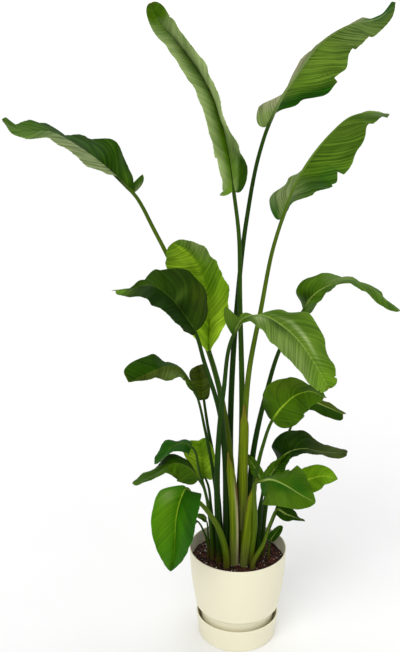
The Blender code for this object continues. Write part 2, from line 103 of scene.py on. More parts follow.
@dataclass
class Leaf:
    """One paddle leaf. The stalk rises from its base on the soil to the blade; the rib runs on to the tip.

    half_width is the blade's, from rib to edge. right and left are how far each half is turned
    out of the plane that faces the front, in degrees, at even steps from base to tip: 0 is flat
    to the front, +90 folds straight forwards, -90 straight back. right is the right-hand half
    when the tip points up. widest is where along the rib the blade is widest, lobe is how far the
    rounded base reaches back past the top of the stalk, and foot and neck are the stalk's radius
    at the soil and at the blade.
    """

    name: str
    base: tuple
    stalk: list
    rib: list
    half_width: float
    right: tuple
    left: tuple
    foot: float = 0.0095
    neck: float = 0.0045
    widest: float = 0.42
    lobe: float = 0.45


LEAVES = [
    Leaf("far_left", base=(-.0125, -.017), stalk=[(-.015, 0, .45), (-.027, .025, .6), (-.075, .045, .855),
        (-.145, .065, 1.045), (-.245, .07, 1.26)], rib=[(-.3, .06, 1.365), (-.34, .05, 1.41),
        (-.385, .03, 1.455), (-.435, .01, 1.495), (-.51, -.02, 1.54), (-.58, -.05, 1.545),
        (-.62, -.07, 1.57)], half_width=.085, right=(-20, -58, -40, -78, -98, -92, -75, -76, -66),
        left=(100, 92, 78, 79, 84, 82, 78, 83, 88), lobe=.12),
    Leaf("top_left", base=(-.004, .014), stalk=[(.008, .018, .67), (-.003, .015, 1.07), (-.01, .01, 1.27)],
        rib=[(-.025, 0, 1.38), (-.042, -.01, 1.49), (-.073, -.02, 1.61), (-.118, -.03, 1.692),
        (-.17, -.05, 1.76), (-.215, -.08, 1.81), (-.235, -.12, 1.853)], half_width=.078,
        right=(35, 45, 66, 86, 78, 72, 68, 46, 10), left=(40, 52, 50, 54, 57, 58, 58, 40, 0)),
    Leaf("top_right", base=(-.014, .045), stalk=[(-.025, .055, .625), (-.01, .065, 1.03), (.015, .07, 1.29),
        (.05, .08, 1.48)], rib=[(.07, .08, 1.545), (.1, .09, 1.61), (.15, .09, 1.685), (.21, .08, 1.765),
        (.285, .06, 1.81), (.35, .03, 1.825), (.38, 0, 1.855)], half_width=.103,
        right=(-86, -80, -38, -8, -8, -36, -46, -66, -96),
        left=(-45, -55, -80, -84, -92, -98, -84, -72, -70)),
    Leaf("upper_right", base=(.014, -.012), stalk=[(.012, -.02, .66), (.025, -.015, .875), (.055, 0, 1.045),
        (.09, .02, 1.23)], rib=[(.11, .02, 1.3), (.135, .02, 1.375), (.185, .01, 1.47), (.235, 0, 1.535),
        (.275, -.02, 1.575), (.315, -.05, 1.59), (.355, -.08, 1.59)], half_width=.1,
        right=(-84, -74, -40, -8, -5, -20, -46, -66, -80),
        left=(-36, -48, -78, -98, -104, -106, -106, -100, -96), widest=.5),
    Leaf("mid_left", base=(-.036, -.018), stalk=[(-.04, -.03, .56), (-.06, -.05, .755), (-.105, -.075, .92)],
        rib=[(-.13, -.09, 1.01), (-.16, -.11, 1.065), (-.2, -.14, 1.125), (-.24, -.17, 1.16),
        (-.295, -.2, 1.16), (-.33, -.22, 1.16)], half_width=.092,
        right=(-34, -20, -14, -36, -74, -102, -106, -98, -92), left=(86, 86, 84, 82, 80, 72, 78, 80, 82),
        lobe=.2),
    Leaf("mid_left_back", base=(-.037, .018), stalk=[(-.045, .004, .635), (-.065, -.005, .83)],
        rib=[(-.09, -.005, .935), (-.09, .02, 1.025), (-.1, .02, 1.105), (-.125, .01, 1.175),
        (-.155, -.02, 1.22), (-.19, -.06, 1.25)], half_width=.095, right=(78, 66, 54, 50, 46, 42, 34),
        left=(70, 50, 25, 15, 12, 5, 0)),
    Leaf("mid_front", base=(-.058, -.03), stalk=[(-.066, -.055, .575), (-.05, -.09, .84)],
        rib=[(-.025, -.13, 1.015), (0, -.15, 1.065), (.045, -.18, 1.083), (.1, -.22, 1.063),
        (.142, -.26, 1.03), (.174, -.28, .985), (.21, -.3, .925)], half_width=.075,
        right=(76, 92, 84, 67, 56, 48, 43, 33, 25), left=(-10, -30, -96, -66, -38, -44, -50, -32, -10),
        lobe=.3),
    Leaf("right_drooping", base=(.038, .014), stalk=[(.045, .045, .59), (.08, .07, .76), (.125, .09, .91)],
        rib=[(.19, .11, 1.015), (.21, .1, 1.055), (.255, .08, 1.095), (.305, .05, 1.115), (.365, .02, 1.105),
        (.405, -.01, 1.075), (.435, -.04, 1.055)], half_width=.068,
        right=(74, 74, 82, 96, 104, 86, 72, 66, 70), left=(-80, -25, -66, -98, -106, -100, -94, -90, -92),
        lobe=.3),
    Leaf("mid_right", base=(.0165, -.046), stalk=[(.038, -.046, .48), (.065, -.052, .65)],
        rib=[(.09, -.06, .735), (.12, -.08, .79), (.155, -.1, .83), (.19, -.13, .85), (.22, -.16, .845)],
        half_width=.065, right=(21, 21, 25, 35, 40, 50, 52, 45, 60),
        left=(-60, -45, -30, -15, -52, -104, -108, -102, -95), foot=.008, neck=.004),
    Leaf("mid_right_back", base=(.055, .037), stalk=[(.105, .09, .47), (.16, .12, .625)],
        rib=[(.195, .12, .708), (.232, .11, .722), (.266, .1, .712), (.296, .09, .702), (.316, .08, .696)],
        half_width=.03, right=(30, 35, 40, 40, 40), left=(-50, -55, -70, -80, -80), foot=.006, neck=.003,
        widest=.62),
    Leaf("low_right_long", base=(.077, .036), stalk=[(.09, .055, .42), (.105, .068, .49)],
        rib=[(.125, .07, .545), (.155, .06, .58), (.195, .05, .595), (.25, .03, .595), (.32, .01, .6)],
        half_width=.065, right=(78, 85, 93, 99, 105, 105, 99, 89, 85),
        left=(-85, -35, -28, -54, -83, -92, -98, -98, -96), foot=.006, neck=.004),
    Leaf("low_right_small", base=(.058, -.008), stalk=[(.066, -.004, .4), (.07, -.01, .465)],
        rib=[(.08, -.02, .515), (.095, -.03, .555), (.115, -.03, .585), (.145, -.03, .62)], half_width=.032,
        right=(30, 20, 30, 60, 65), left=(60, 30, 30, 50, 60), foot=.004, neck=.0025),
    Leaf("low_right_front", base=(.038, -.034), stalk=[(.047, -.06, .415), (.042, -.088, .51),
        (.042, -.1, .557)], rib=[(.055, -.112, .57), (.085, -.14, .59), (.12, -.17, .588), (.163, -.19, .568),
        (.203, -.2, .55)], half_width=.075, right=(22, 22, 24, 27, 40, 45, 45, 55, 75),
        left=(-117, -118, -106, -84, -62, -50, -56, -66, -80), foot=.007, neck=.004, widest=.36, lobe=.6),
    Leaf("low_right_back", base=(.077, .008), stalk=[(.11, 0, .4), (.145, -.02, .5)], rib=[(.175, -.03, .52),
        (.205, -.05, .545), (.24, -.07, .565), (.28, -.09, .565)], half_width=.04, right=(26, 26, 35, 55, 75),
        left=(-95, -55, -50, -60, -75), foot=.005, neck=.003, widest=.34),
    Leaf("low_right_hidden", base=(.057, .012), stalk=[(.064, .016, .4)], rib=[(.07, .02, .5),
        (.05, .02, .545), (.02, .022, .59)], half_width=.018, right=(-20, -30, -20), left=(40,), foot=.004,
        neck=.0025),
    Leaf("rim_right", base=(.043, -.061), stalk=[(.075, -.045, .33), (.095, -.035, .395)],
        rib=[(.115, -.03, .435), (.14, -.05, .43), (.165, -.07, .43), (.19, -.1, .435)], half_width=.024,
        right=(30, 40, 80, 60), left=(-50, -50, -90, -70), foot=.006, neck=.0025, widest=.32),
    Leaf("rim_curled", base=(.094, -.008), stalk=[(.095, -.004, .29)], rib=[(.1, 0, .315), (.115, 0, .34),
        (.13, -.01, .37)], half_width=.025, right=(35,), left=(35,), foot=.004, neck=.0022),
    Leaf("low_left_arched", base=(-.054, -.003), stalk=[(-.078, -.02, .56), (-.1, -.04, .69)],
        rib=[(-.13, -.06, .825), (-.148, -.07, .868), (-.17, -.08, .9), (-.198, -.095, .913),
        (-.232, -.115, .91), (-.268, -.14, .902), (-.292, -.16, .897), (-.308, -.17, .893)], half_width=.05,
        right=(-109, -109, -109, -100, -46, -36, -30), left=(90, 82, 72, 60, 58, 88, 104), foot=.0065,
        neck=.003, widest=.7, lobe=.95),
    Leaf("low_left_curled", base=(-.05, .045), stalk=[(-.08, .04, .6), (-.092, .035, .67)],
        rib=[(-.105, .03, .765), (-.11, .02, .805), (-.115, 0, .85), (-.125, -.03, .89)], half_width=.036,
        right=(20, 26, 20), left=(20, 30, 40), foot=.006, neck=.0035, widest=.66),
    Leaf("tuft_top", base=(-.072, .014), stalk=[(-.095, -.015, .46), (-.118, -.035, .565)],
        rib=[(-.14, -.05, .648), (-.16, -.06, .664), (-.195, -.08, .662), (-.22, -.1, .643),
        (-.24, -.12, .628)], half_width=.04, right=(-85, -109, -70, -78, -97), left=(25, 62, 82, 99, 97),
        foot=.005, neck=.003),
    Leaf("tuft_bright", base=(-.07, .04), stalk=[(-.082, .045, .4), (-.092, .043, .48)],
        rib=[(-.1, .04, .505), (-.105, .038, .55), (-.113, .04, .59), (-.12, .045, .625)], half_width=.047,
        right=(40, 35, 30, 30), left=(40, 30, 20, 20), foot=.005, neck=.003, widest=.55),
    Leaf("tuft_long", base=(-.078, -.012), stalk=[(-.09, -.045, .435), (-.105, -.065, .525)],
        rib=[(-.12, -.08, .56), (-.145, -.1, .605), (-.185, -.12, .63), (-.245, -.15, .61),
        (-.3, -.18, .595)], half_width=.05, right=(-104, -99, -96, -90, -87, -92, -92, -95, -96),
        left=(26, 26, 26, 30, 45, 96, 102, 100, 92), foot=.006, neck=.003),
    Leaf("low_left_hidden", base=(-.09, .016), stalk=[(-.102, .012, .33)], rib=[(-.128, .01, .375),
        (-.15, 0, .382), (-.172, -.01, .365), (-.182, -.02, .335)], half_width=.02, right=(-60, -40, -20),
        left=(80, 60, 40), foot=.0035, neck=.0022),
    Leaf("low_left_tiny", base=(-.09, -.001), stalk=[(-.092, -.008, .345)], rib=[(-.098, -.012, .388),
        (-.11, -.016, .402), (-.128, -.02, .408)], half_width=.012, right=(-60,), left=(80,), foot=.0035,
        neck=.002),
    Leaf("front_left", base=(-.036, -.052), stalk=[(-.062, -.078, .4), (-.1, -.112, .482),
        (-.136, -.142, .538)], rib=[(-.156, -.17, .576), (-.171, -.198, .553), (-.182, -.216, .507),
        (-.185, -.222, .451), (-.187, -.22, .407), (-.194, -.216, .366), (-.199, -.21, .338)],
        half_width=.073, right=(14, 14, 12, 14, 18, 24, 28, 30, 30),
        left=(60, 56, 47, 42, 44, 48, 52, 55, 60), foot=.0085, neck=.004, widest=.3, lobe=.02),
]


@dataclass
class Sheath:
    """An old leaf base that clasps the stalks: part of a tube that narrows to a blunt point at its top.

    toward is the side it faces, in degrees round from the front, and spread is how far it reaches
    round to either side of that, both at even steps from bottom to top. papery is how far its
    right-hand side has dried to pale paper and brown husk.
    """

    name: str
    middle: list
    radius: tuple
    toward: tuple
    spread: tuple
    papery: float = 0.0


SHEATHS = [
    Sheath("left", middle=[(-.0125, -.04, SOIL_HEIGHT), (-.0155, -.046, .44), (-.031, -.05, .635)],
           radius=(.0128, .0122, .0115), toward=(0, 0, 0, -10, -20), spread=(115, 114, 108, 85, 12), papery=0.9),
    Sheath("right", middle=[(.0165, -.046, SOIL_HEIGHT), (.026, -.046, .38), (.0425, -.046, .55)],
           radius=(.0118, .0115, .011), toward=(0, 5, 15, 25, 35), spread=(125, 120, 110, 85, 12)),
    Sheath("tall", middle=[(.0135, -.0155, .36), (.012, -.0205, .62), (.0145, -.0195, .77)],
           radius=(.0115, .0125, .0115), toward=(0, 0, 0, -5, -15), spread=(120, 125, 125, 100, 14)),
]


@dataclass
class Skin:
    """How a leaf is finished, in the names of paints. right and left colour its halves on the side that
    looks forward when they are flat, and back colours both behind.

    ridge is the side that the rib stands out of: -1 behind, 1 in front. bow is how far each half
    arches, as a share of its width. pleat and flutter, the height of its vein pleats and of its
    wavy edge, are in metres. gloss runs from 0, dull, to 1. stripes is how strongly the veins show,
    and foot_grow widens the stalk's foot. trim_right and trim_left are shares of the half's width
    at even steps from base to tip.
    notches are (half, place, depth, run): the edge steps in by depth at place and comes back
    over run, or before place where run is negative.
    patches are (half, place, reach, length, breadth, paint, strength) areas of paint, which are soft up to
    a strength of 1 and have crisp edges above it. Some are the leaf's own tints and some are painted
    light and shade: painted highlights, painted glow of light through the leaf, and painted shade.
    """

    right: str
    left: str
    back: str
    rib: str = "rib_pale"
    stalk: str = "stalk"
    ridge: int = -1
    bow: float = 0.08
    pleat: float = 0.0009
    flutter: float = 0.003
    gloss: float = 0.5
    stripes: float = 0.6
    foot_grow: float = 1.0
    trim_right: tuple = (1,)
    trim_left: tuple = (1,)
    notches: tuple = ()
    patches: tuple = ()


RIGHT, LEFT, BOTH = 1, -1, 0
SKINS = {
    # far_left and top_left draw their ribs with the dark rib paint: painted shade in the fold of the rib's
    # groove.
    "far_left": Skin("deep", "silver", "sage", rib="rib_dark", stalk="stalk_light", bow=.03, stripes=.9,
        trim_right=(1.5, 1, 1, 1, 1, 1, 1, .9, .2), trim_left=(.05, .05, .6, 1, 1, 1, 1, .9, .5),
        notches=((RIGHT, .05, .7, .08),), patches=((LEFT, .85, .5, .2, 1.5, "leaf", 1),
        (RIGHT, .9, .5, .16, 1.5, "leaf", .9), (RIGHT, .1, .6, .1, .5, "leaf", .6),
        (RIGHT, 0, .7, .02, .5, "silver", 1))),
    # top_left's pale halves are painted light: paler than its green, to lift the shade that their turn puts on
    # them.
    "top_left": Skin("pale", "pale", "moss", rib="rib_dark", bow=.07, stripes=.38,
        trim_right=(.8, 1, 1, 1, 1, 1, 1, 1, 1.2), trim_left=(1.7, .8, .8, .85, .8, .9, .85, .75, .8),
        notches=((LEFT, .035, .35, .1), (LEFT, .22, .14, -.08), (RIGHT, .88, .14, -.06)),
        patches=((LEFT, .28, .05, .35, .55, "fresh", 1.2), (LEFT, .68, .3, .12, .5, "leaf", .7),
        (RIGHT, .1, .9, .14, .5, "deep", 1.5), (RIGHT, .12, .2, .13, .3, "fresh", .8),
        (LEFT, 0, .5, .06, 1, "fresh", .9), (BOTH, 1, .5, .13, 1.2, "leaf", 1.5),
        (LEFT, .88, .1, .06, .4, "fresh", .6))),
    "top_right": Skin("moss", "blush", "deep", rib="sage", stalk="stalk_dark", ridge=1, bow=.03, pleat=.0014,
        stripes=1, trim_right=(.6, .45, .7, 1, 1, .95, .85, .7, .6),
        trim_left=(.75, .85, .1, .8, .8, .5, .6, .75, .5), notches=((RIGHT, .43, .14, .1),
        (RIGHT, .64, .13, -.08)), patches=((RIGHT, .19, 1, .09, .42, "jade", 3),
        (RIGHT, .31, 1, .07, .22, "jade", 3), (RIGHT, .08, .7, .08, .5, "deep", 1),
        (RIGHT, .75, .5, .12, 1, "sage", .7), (LEFT, .02, .5, .09, 1.5, "sage", 1.5),
        (RIGHT, .97, .5, .07, 1, "deep", .9), (LEFT, .9, .5, .12, 3, "jade", 3),
        (RIGHT, .95, 0, .09, .5, "jade", 2), (RIGHT, .3, .4, .08, .3, "fresh", .35))),
    "upper_right": Skin("leaf", "sage", "deep", rib="moss", stalk="stalk_light", ridge=1, bow=.03,
        pleat=.0013, stripes=1, trim_right=(.7, .85, 1, 1, 1.02, .95, .85, .75, .3),
        trim_left=(.6, .95, .75, .35, .3, .3, .2, .2, .3), notches=((RIGHT, .45, .2, -.06),
        (RIGHT, .36, .08, .03)), patches=((RIGHT, .38, .85, .07, .25, "jade", 3),
        (RIGHT, .26, .6, .05, .25, "jade", 1), (RIGHT, .16, .3, .1, .5, "sage", .8),
        (LEFT, .07, 1, .09, .35, "jade", 2), (RIGHT, .65, .5, .3, 2, "moss", .6),
        (RIGHT, .05, .8, .08, .6, "jade", 2), (LEFT, .15, .5, .07, .6, "silver", .8))),
    "mid_left": Skin("shade", "shade", "leaf", rib="rib_dim", stalk="stalk_dark", stripes=.55,
        trim_right=(1, .95, 1, 1, .78, .22, .12, .3, .5), trim_left=(.4, .8, 1, 1, 1, .9, .7, .8, 1),
        patches=((BOTH, 1, .5, .12, 2, "fresh", .9), (RIGHT, .2, .7, .14, .3, "olive", .8),
        (RIGHT, .37, .3, .03, .3, "moss", .5), (RIGHT, .65, .5, .2, 2, "dusk", .9),
        (RIGHT, .1, .3, .15, .5, "dusk", .8))),
    # mid_left_back's fresh halves and bright patches are painted light: the glow of light shining through the
    # thin leaf.
    "mid_left_back": Skin("fresh", "fresh", "fresh", rib="rib_lime", pleat=.0013, flutter=.006, stripes=.8,
        trim_right=(.5, 1, 1, 1, 1, 1.05, 1.2), trim_left=(.4, 1, 1, 1, 1, 1, 1),
        patches=((BOTH, .1, .5, .24, 1.5, "bright", 1.3), (BOTH, .85, .5, .14, 1.2, "moss", .5),
        (RIGHT, .85, 1, .14, .5, "sage", 1), (LEFT, .8, .4, .12, .5, "bright", .8),
        (BOTH, .8, 0, .3, .14, "bright", .9))),
    # mid_front's two pale patches are painted highlights: streaks of sheen on its waxy surface.
    "mid_front": Skin("moss", "moss", "leaf", stalk="stalk_dark", gloss=.8,
        trim_right=(.3, .3, .5, .8, .92, .92, .92, .95, 1.2), trim_left=(.3, 1.05, .2, .75, 1, 1, 1, 1, 1.25),
        notches=((LEFT, .13, .93, .2), (LEFT, .9, .35, .02), (RIGHT, .93, .4, .02)),
        patches=((RIGHT, .46, .2, .12, .3, "deep", 1), (RIGHT, .2, .5, .16, 1, "leaf", .9),
        (RIGHT, .7, .8, .3, .5, "sage", .7), (LEFT, .4, .5, .2, .5, "leaf", .7),
        (BOTH, 0, .5, .1, 2, "deep", 1), (BOTH, .93, .5, .1, 1, "fresh", .6),
        (LEFT, .6, .28, .16, .08, "pale", .8), (LEFT, .75, .8, .15, .4, "leaf", .6),
        (RIGHT, .32, .45, .05, .3, "pale", .6))),
    "right_drooping": Skin("leaf", "leaf", "leaf", stalk="stalk_dark", bow=.05,
        patches=((LEFT, .4, .6, .1, .6, "sage", .7), (LEFT, .1, .3, .06, .3, "shade", .8))),
    "mid_right": Skin("leaf", "leaf", "leaf", rib="rib_lime", stripes=.5,
        trim_left=(1, 1.1, 1.12, 1.1, .95, .7, .7, .7, .8), patches=((LEFT, .05, .8, .12, .5, "shade", .8),
        (LEFT, .5, .7, .2, .4, "olive", .6))),
    "mid_right_back": Skin("deep", "olive", "deep", trim_left=(1, 1, .8, .7, .6)),
    "low_right_long": Skin("shade", "shade", "deep", bow=.05, stripes=.8, foot_grow=1.3,
        trim_right=(.3, .6, 1, 1, 1, 1, 1, 1, 1), patches=((BOTH, .8, .5, .25, 2, "olive", .8),
        (LEFT, .6, .9, .15, .2, "olive", .6), (LEFT, .3, .3, .12, .3, "deep", .7))),
    "low_right_small": Skin("deep", "leaf", "leaf", stalk="stalk_dark", foot_grow=3),
    "low_right_front": Skin("leaf", "leaf", "leaf", stalk="stalk_light", gloss=.8, stripes=.3, foot_grow=1.5,
        trim_right=(1, .85, .95, 1, 1, .95, .92, .9, 1), trim_left=(1, 1, 1, 1, 1.12, 1.08, 1, 1, 1),
        patches=((RIGHT, .4, .8, .3, .5, "moss", .6), (RIGHT, .45, .1, .25, .2, "jade", .9),
        (BOTH, 0, .6, .14, 1.5, "jade", 1), (LEFT, .7, .3, .2, .4, "jade", .8))),
    "low_right_back": Skin("fresh", "fresh", "leaf", rib="rib_lime", stripes=.4),
    "low_right_hidden": Skin("leaf", "leaf", "deep", stalk="stalk_dark", foot_grow=3),
    "rim_right": Skin("deep", "deep", "deep", stalk="stalk_light", foot_grow=1.3,
        trim_right=(.8, .85, .85, .85, .8, .5, .35, .35, .5), trim_left=(1, 1, 1, 1, .9, .6, .4, .6, .8)),
    "rim_curled": Skin("deep", "deep", "leaf", trim_right=(.6,)),
    "low_left_arched": Skin("deep", "olive", "leaf", rib="rib_dim", stalk="stalk_dark", bow=.05, stripes=.7,
        patches=((LEFT, .5, .8, .2, .4, "sage", .6), (BOTH, .2, .5, .15, 2, "leaf", .6))),
    "low_left_curled": Skin("olive", "olive", "leaf", rib="rib_dim", stalk="stalk_dark", stripes=1,
        trim_right=(.85,)),
    "tuft_top": Skin("jade", "jade", "sage", rib="rib_dim", stripes=.5),
    "tuft_bright": Skin("fresh", "fresh", "fresh", rib="rib_lime", stripes=.5, trim_left=(1, 1, 1, 1.2, 1.5),
        patches=((RIGHT, .4, .6, .3, .8, "bright", .7), (LEFT, .6, .5, .3, .8, "bright", .7))),
    "tuft_long": Skin("deep", "leaf", "leaf", rib="rib_dim", stripes=.5,
        patches=((BOTH, .9, .5, .3, 2, "leaf", .8),)),
    "low_left_hidden": Skin("deep", "deep", "deep"),
    "low_left_tiny": Skin("leaf", "leaf", "deep"),
    # front_left's narrow sage streak near the top of its right half is a painted highlight, a sheen on the waxy
    # surface.
    "front_left": Skin("emerald", "jade", "leaf", rib="rib_lime", stalk="stalk_light", pleat=.0005,
        flutter=.002, gloss=.9, stripes=.3, foot_grow=1.25,
        trim_right=(.55, 1.1, .97, .93, .88, .84, .78, .7, .7),
        trim_left=(1.55, 1.2, 1.03, .95, .82, .7, .58, .5, .5),
        patches=((LEFT, .35, .35, .2, .3, "emerald", .8), (RIGHT, .3, .5, .3, .45, "fresh", .5),
        (LEFT, 0, .7, .12, .6, "shade", .6), (RIGHT, 0, .7, .12, .6, "jade", .8),
        (RIGHT, .14, .6, .05, .25, "sage", .6), (BOTH, .75, .4, .2, .6, "emerald", .6))),
}


# ---- curves and colours ----
def unit(vectors):
    return vectors / np.maximum(np.linalg.norm(vectors, axis=-1, keepdims=True), 1e-12)


def blend(first, second, share):
    return first + (second - first) * share


def colour(name):
    """A paint as the light-linear colour that Blender mixes."""
    share = np.array(PAINTS[name]) / 255
    return np.where(share <= 0.04045, share / 12.92, ((share + 0.055) / 1.055)**2.4)


def run_along(points):
    """How far each point is from the first, along the line through them all."""
    return np.concatenate([[0], np.cumsum(np.linalg.norm(np.diff(points, axis=0), axis=1))])


def round_angles(steps):
    return 2 * math.pi * np.arange(steps) / steps


def read_at(places, at, values):
    """Vectors that are given at some places, read between them."""
    return np.stack([np.interp(places, at, values[:, axis]) for axis in range(3)], axis=1)


def side_and_facing(tangent):
    """Square to a line at each point: the way to its side, and the way that looks most to the front."""
    facing = unit(FRONT - tangent * (tangent @ FRONT)[:, None])
    return np.cross(tangent, facing), facing


def smooth_path(before, points, after, count):
    """count + 1 points evenly spaced on a smooth curve through the given points, aimed by those around."""
    given = np.array([before, *points, after], float)
    knots = run_along(given)
    slopes = np.gradient(given, knots, axis=0)[1:-1]
    given, knots = given[1:-1], knots[1:-1] - knots[1]
    fine = np.linspace(0, knots[-1], 60 * len(given))
    span = np.clip(np.searchsorted(knots, fine, side="right") - 1, 0, len(given) - 2)
    length = (knots[span + 1] - knots[span])[:, None]
    u = (fine - knots[span])[:, None] / length
    curve = ((2 * u**3 - 3 * u**2 + 1) * given[span] + (u**3 - 2 * u**2 + u) * length * slopes[span]
             + (3 * u**2 - 2 * u**3) * given[span + 1] + (u**3 - u**2) * length * slopes[span + 1])
    along = run_along(curve)
    return read_at(np.linspace(0, along[-1], count + 1), along, curve)


def eased(values, t):
    """Values given at even steps from 0 to 1, read at t with a smooth ease between them."""
    if len(values) == 1:
        return np.full_like(t, values[0], dtype=float)
    place = t * (len(values) - 1)
    step = np.clip(place.astype(int), 0, len(values) - 2)
    share = place - step
    share = share * share * (3 - 2 * share)
    listed = np.array(values, float)
    return listed[step] * (1 - share) + listed[step + 1] * share


def ripple(x, length, dice):
    """A wandering wave about one unit high that repeats roughly every length."""
    waves = ((1, 1), (0.6, 0.63), (0.7, 1.9), (0.4, 3.3))
    turns = dice.uniform(0, 2 * math.pi, len(waves))
    return sum(high * np.sin(2 * math.pi * x / (length * long) + turn)
               for (high, long), turn in zip(waves, turns)) / 1.9


# ---- meshes and pieces ----
def new_mesh(name, points, faces, sharp=55, **layers):
    """A smooth mesh that is creased where it bends by more than sharp degrees, with a value of each layer
    for every point."""
    mesh = bpy.data.meshes.new(name)
    mesh.from_pydata(points, [], faces)
    for layer, values in layers.items():
        kind, field = LAYERS[layer]
        made = mesh.attributes.new(layer, kind, "POINT")
        made.data.foreach_set(field, np.ascontiguousarray(values, dtype=np.float32).ravel())
    mesh.polygons.foreach_set("use_smooth", np.ones(len(mesh.polygons), dtype=bool))
    mesh.set_sharp_from_angle(angle=math.radians(sharp))
    mesh.update()
    return mesh


def add_object(name, data):
    made = bpy.data.objects.new(name, data)
    bpy.context.scene.collection.objects.link(made)
    return made


def place(name, mesh, finish, slot, node=None):
    """Puts a piece in the scene, on the plant's one body, in place of its CAD node, which has its name
    unless node gives another."""
    piece = add_object(name, mesh)
    mesh.materials.append(finish)
    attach(piece, "root")
    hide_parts(node or name)


def solid_sheet(name, points, thickness, tints, veins, stripes=1.0):
    """A thin closed solid round a grid of points. tints are its colours in front and behind, and veins
    are the places on its pattern, at every point of the grid."""
    rows, columns = points.shape[:2]
    count = rows * columns
    half = unit(np.cross(np.gradient(points, axis=1), np.gradient(points, axis=0))) * thickness / 2
    corners = np.concatenate([points + half, points - half]).reshape(-1, 3)
    index = np.arange(count).reshape(rows, columns)

    def quads(grid):
        return np.stack([grid[:-1, :-1], grid[:-1, 1:], grid[1:, 1:], grid[1:, :-1]], axis=-1).reshape(-1, 4)

    ring = np.concatenate([index[0, :-1], index[:-1, -1], index[-1, :0:-1], index[:0:-1, 0]])
    following = np.roll(ring, -1)
    wall = np.stack([following, ring, ring + count, following + count], axis=-1)
    faces = np.concatenate([quads(index), quads(index + count)[:, ::-1], wall])
    return new_mesh(name, corners.tolist(), faces.tolist(), tint=np.concatenate(tints),
                    veins=np.concatenate([veins, veins]), stripes=np.full(len(corners), stripes))


def with_last(values, last):
    """A grid of colours with one more number, such as the gloss or the alpha, after each."""
    return np.concatenate([values, np.full(values.shape[:-1] + (1,), last)], axis=-1)


# ---- leaves, stalks and sheaths ----
def outline(t, widest):
    """Half width of a blade as a share of its widest: round at the base and drawn to a point."""
    base_power = 0.45
    tip_power = base_power * (1 - widest) / widest
    return t**base_power * (1 - t)**tip_power / (widest**base_power * (1 - widest)**tip_power)


def rib_line(leaf, t):
    """Points on the rib at t, the way it runs there, the side and the front of a flat blade, and its length."""
    beyond = np.array(leaf.rib[-1]) * 2 - np.array(leaf.rib[-2])
    steps = 600
    fine = smooth_path(leaf.stalk[-1], leaf.rib, beyond, steps)
    at = np.linspace(0, 1, steps + 1)
    tangent = unit(read_at(t, at, unit(np.gradient(fine, axis=0))))
    length = np.linalg.norm(np.diff(fine, axis=0), axis=1).sum()
    return read_at(t, at, fine), tangent, *side_and_facing(tangent), length


def edge_steps(skin, half, t):
    """What share of its full width a half has, with its torn steps, at each place along the rib."""
    kept = np.ones_like(t)
    for side, spot, depth, run in skin.notches:
        if side == half:
            after = (t - spot) / run
            kept -= np.where((after >= 0) & (after < 1), depth * (1 - np.clip(after, 0, 1))**1.3, 0)
    return kept


def half_blade(leaf, skin, half, t, columns, dice):
    """One half of a blade, rib to edge: its points, their place on the vein pattern, how far they are
    from the rib in metres, and how far as a share of the half's width."""
    rib, tangent, side, facing, length = rib_line(leaf, t)
    trim, turned = (skin.trim_right, leaf.right) if half == RIGHT else (skin.trim_left, leaf.left)
    reach = (np.arange(columns + 1) / columns)**1.4
    paddle = leaf.half_width * outline(t, leaf.widest)
    width = np.maximum(paddle, np.maximum(leaf.neck * 0.9 * (1 - t)**4, TIP_HALF_WIDTH))
    width = width * edge_steps(skin, half, t) * eased(trim, t)
    width = width * (1 + 0.006 * ripple(length * t, 0.03, dice) * np.sin(math.pi * t))
    turn = np.radians(eased(turned, t))[:, None]
    out = np.cos(turn) * half * side + np.sin(turn) * facing
    face = np.cos(turn) * facing - np.sin(turn) * half * side
    depth = width[:, None] * reach
    sweep = paddle[:, None] * reach**2 * (t - leaf.lobe)[:, None]
    vein = length * t[:, None] + sweep - VEIN_SLOPE * depth - VEIN_CURL * depth * reach
    ends = np.sin(math.pi * np.clip(t, 0.001, 0.999))[:, None]**0.5
    rise = -skin.ridge * skin.bow * width[:, None] * 4 * reach * (1 - reach) * ends
    pleats = skin.pleat * ripple(vein, PLEAT_LENGTH, dice) * reach**0.5
    rise = rise + pleats * ends * (width[:, None] / leaf.half_width)
    rise = rise + skin.flutter * ripple(vein, FLUTTER_LENGTH, dice) * reach**2 * ends
    points = rib[:, None, :] + out[:, None, :] * depth[:, :, None] + tangent[:, None, :] * sweep[:, :, None]
    return points + face[:, None, :] * rise[:, :, None], vein, depth, reach


def painted(skin, t, depth, reach, half, front):
    """The broad colour of a half's face, rib to edge."""
    shade = colour(skin.back if not front else skin.right if half == RIGHT else skin.left)
    shade = np.broadcast_to(shade, (len(t), len(reach), 3))
    # Each patch blends in a paint: some are the leaf's own tints, others painted highlights, painted glow and
    # painted shade.
    for side, place, over, long, broad, paint, strength in skin.patches:
        if side in (half, BOTH) and front:
            share = strength * np.exp(-((t[:, None] - place) / long)**2 - ((reach - over) / broad)**2)
            shade = blend(shade, colour(paint), np.clip(share, 0, 1)[:, :, None])
    # The rib line takes the skin's rib paint; the dark rib paint is painted shade in the rib's groove.
    ridge_here = skin.ridge == (1 if front else -1)
    rib_width = (RIDGE_PAINT_WIDTH if ridge_here else GROOVE_PAINT_WIDTH) * (1 - 0.75 * t)[:, None]
    rib_share = np.clip(1.6 - depth / rib_width, 0, 1) * (1 - 0.55 * t)[:, None]
    shade = blend(shade, colour(skin.rib), rib_share[:, :, None])
    rim_share = np.clip((reach - 0.955) / 0.03, 0, 1)[None, :, None] * 0.45
    shade = blend(shade, shade * 1.5 + 0.02 * colour("lime"), rim_share)
    dry_share = np.clip((t - DRY_TIP_START) / (1 - DRY_TIP_START), 0, 1)[:, None, None] * 0.35
    return blend(shade, colour("dry"), dry_share)


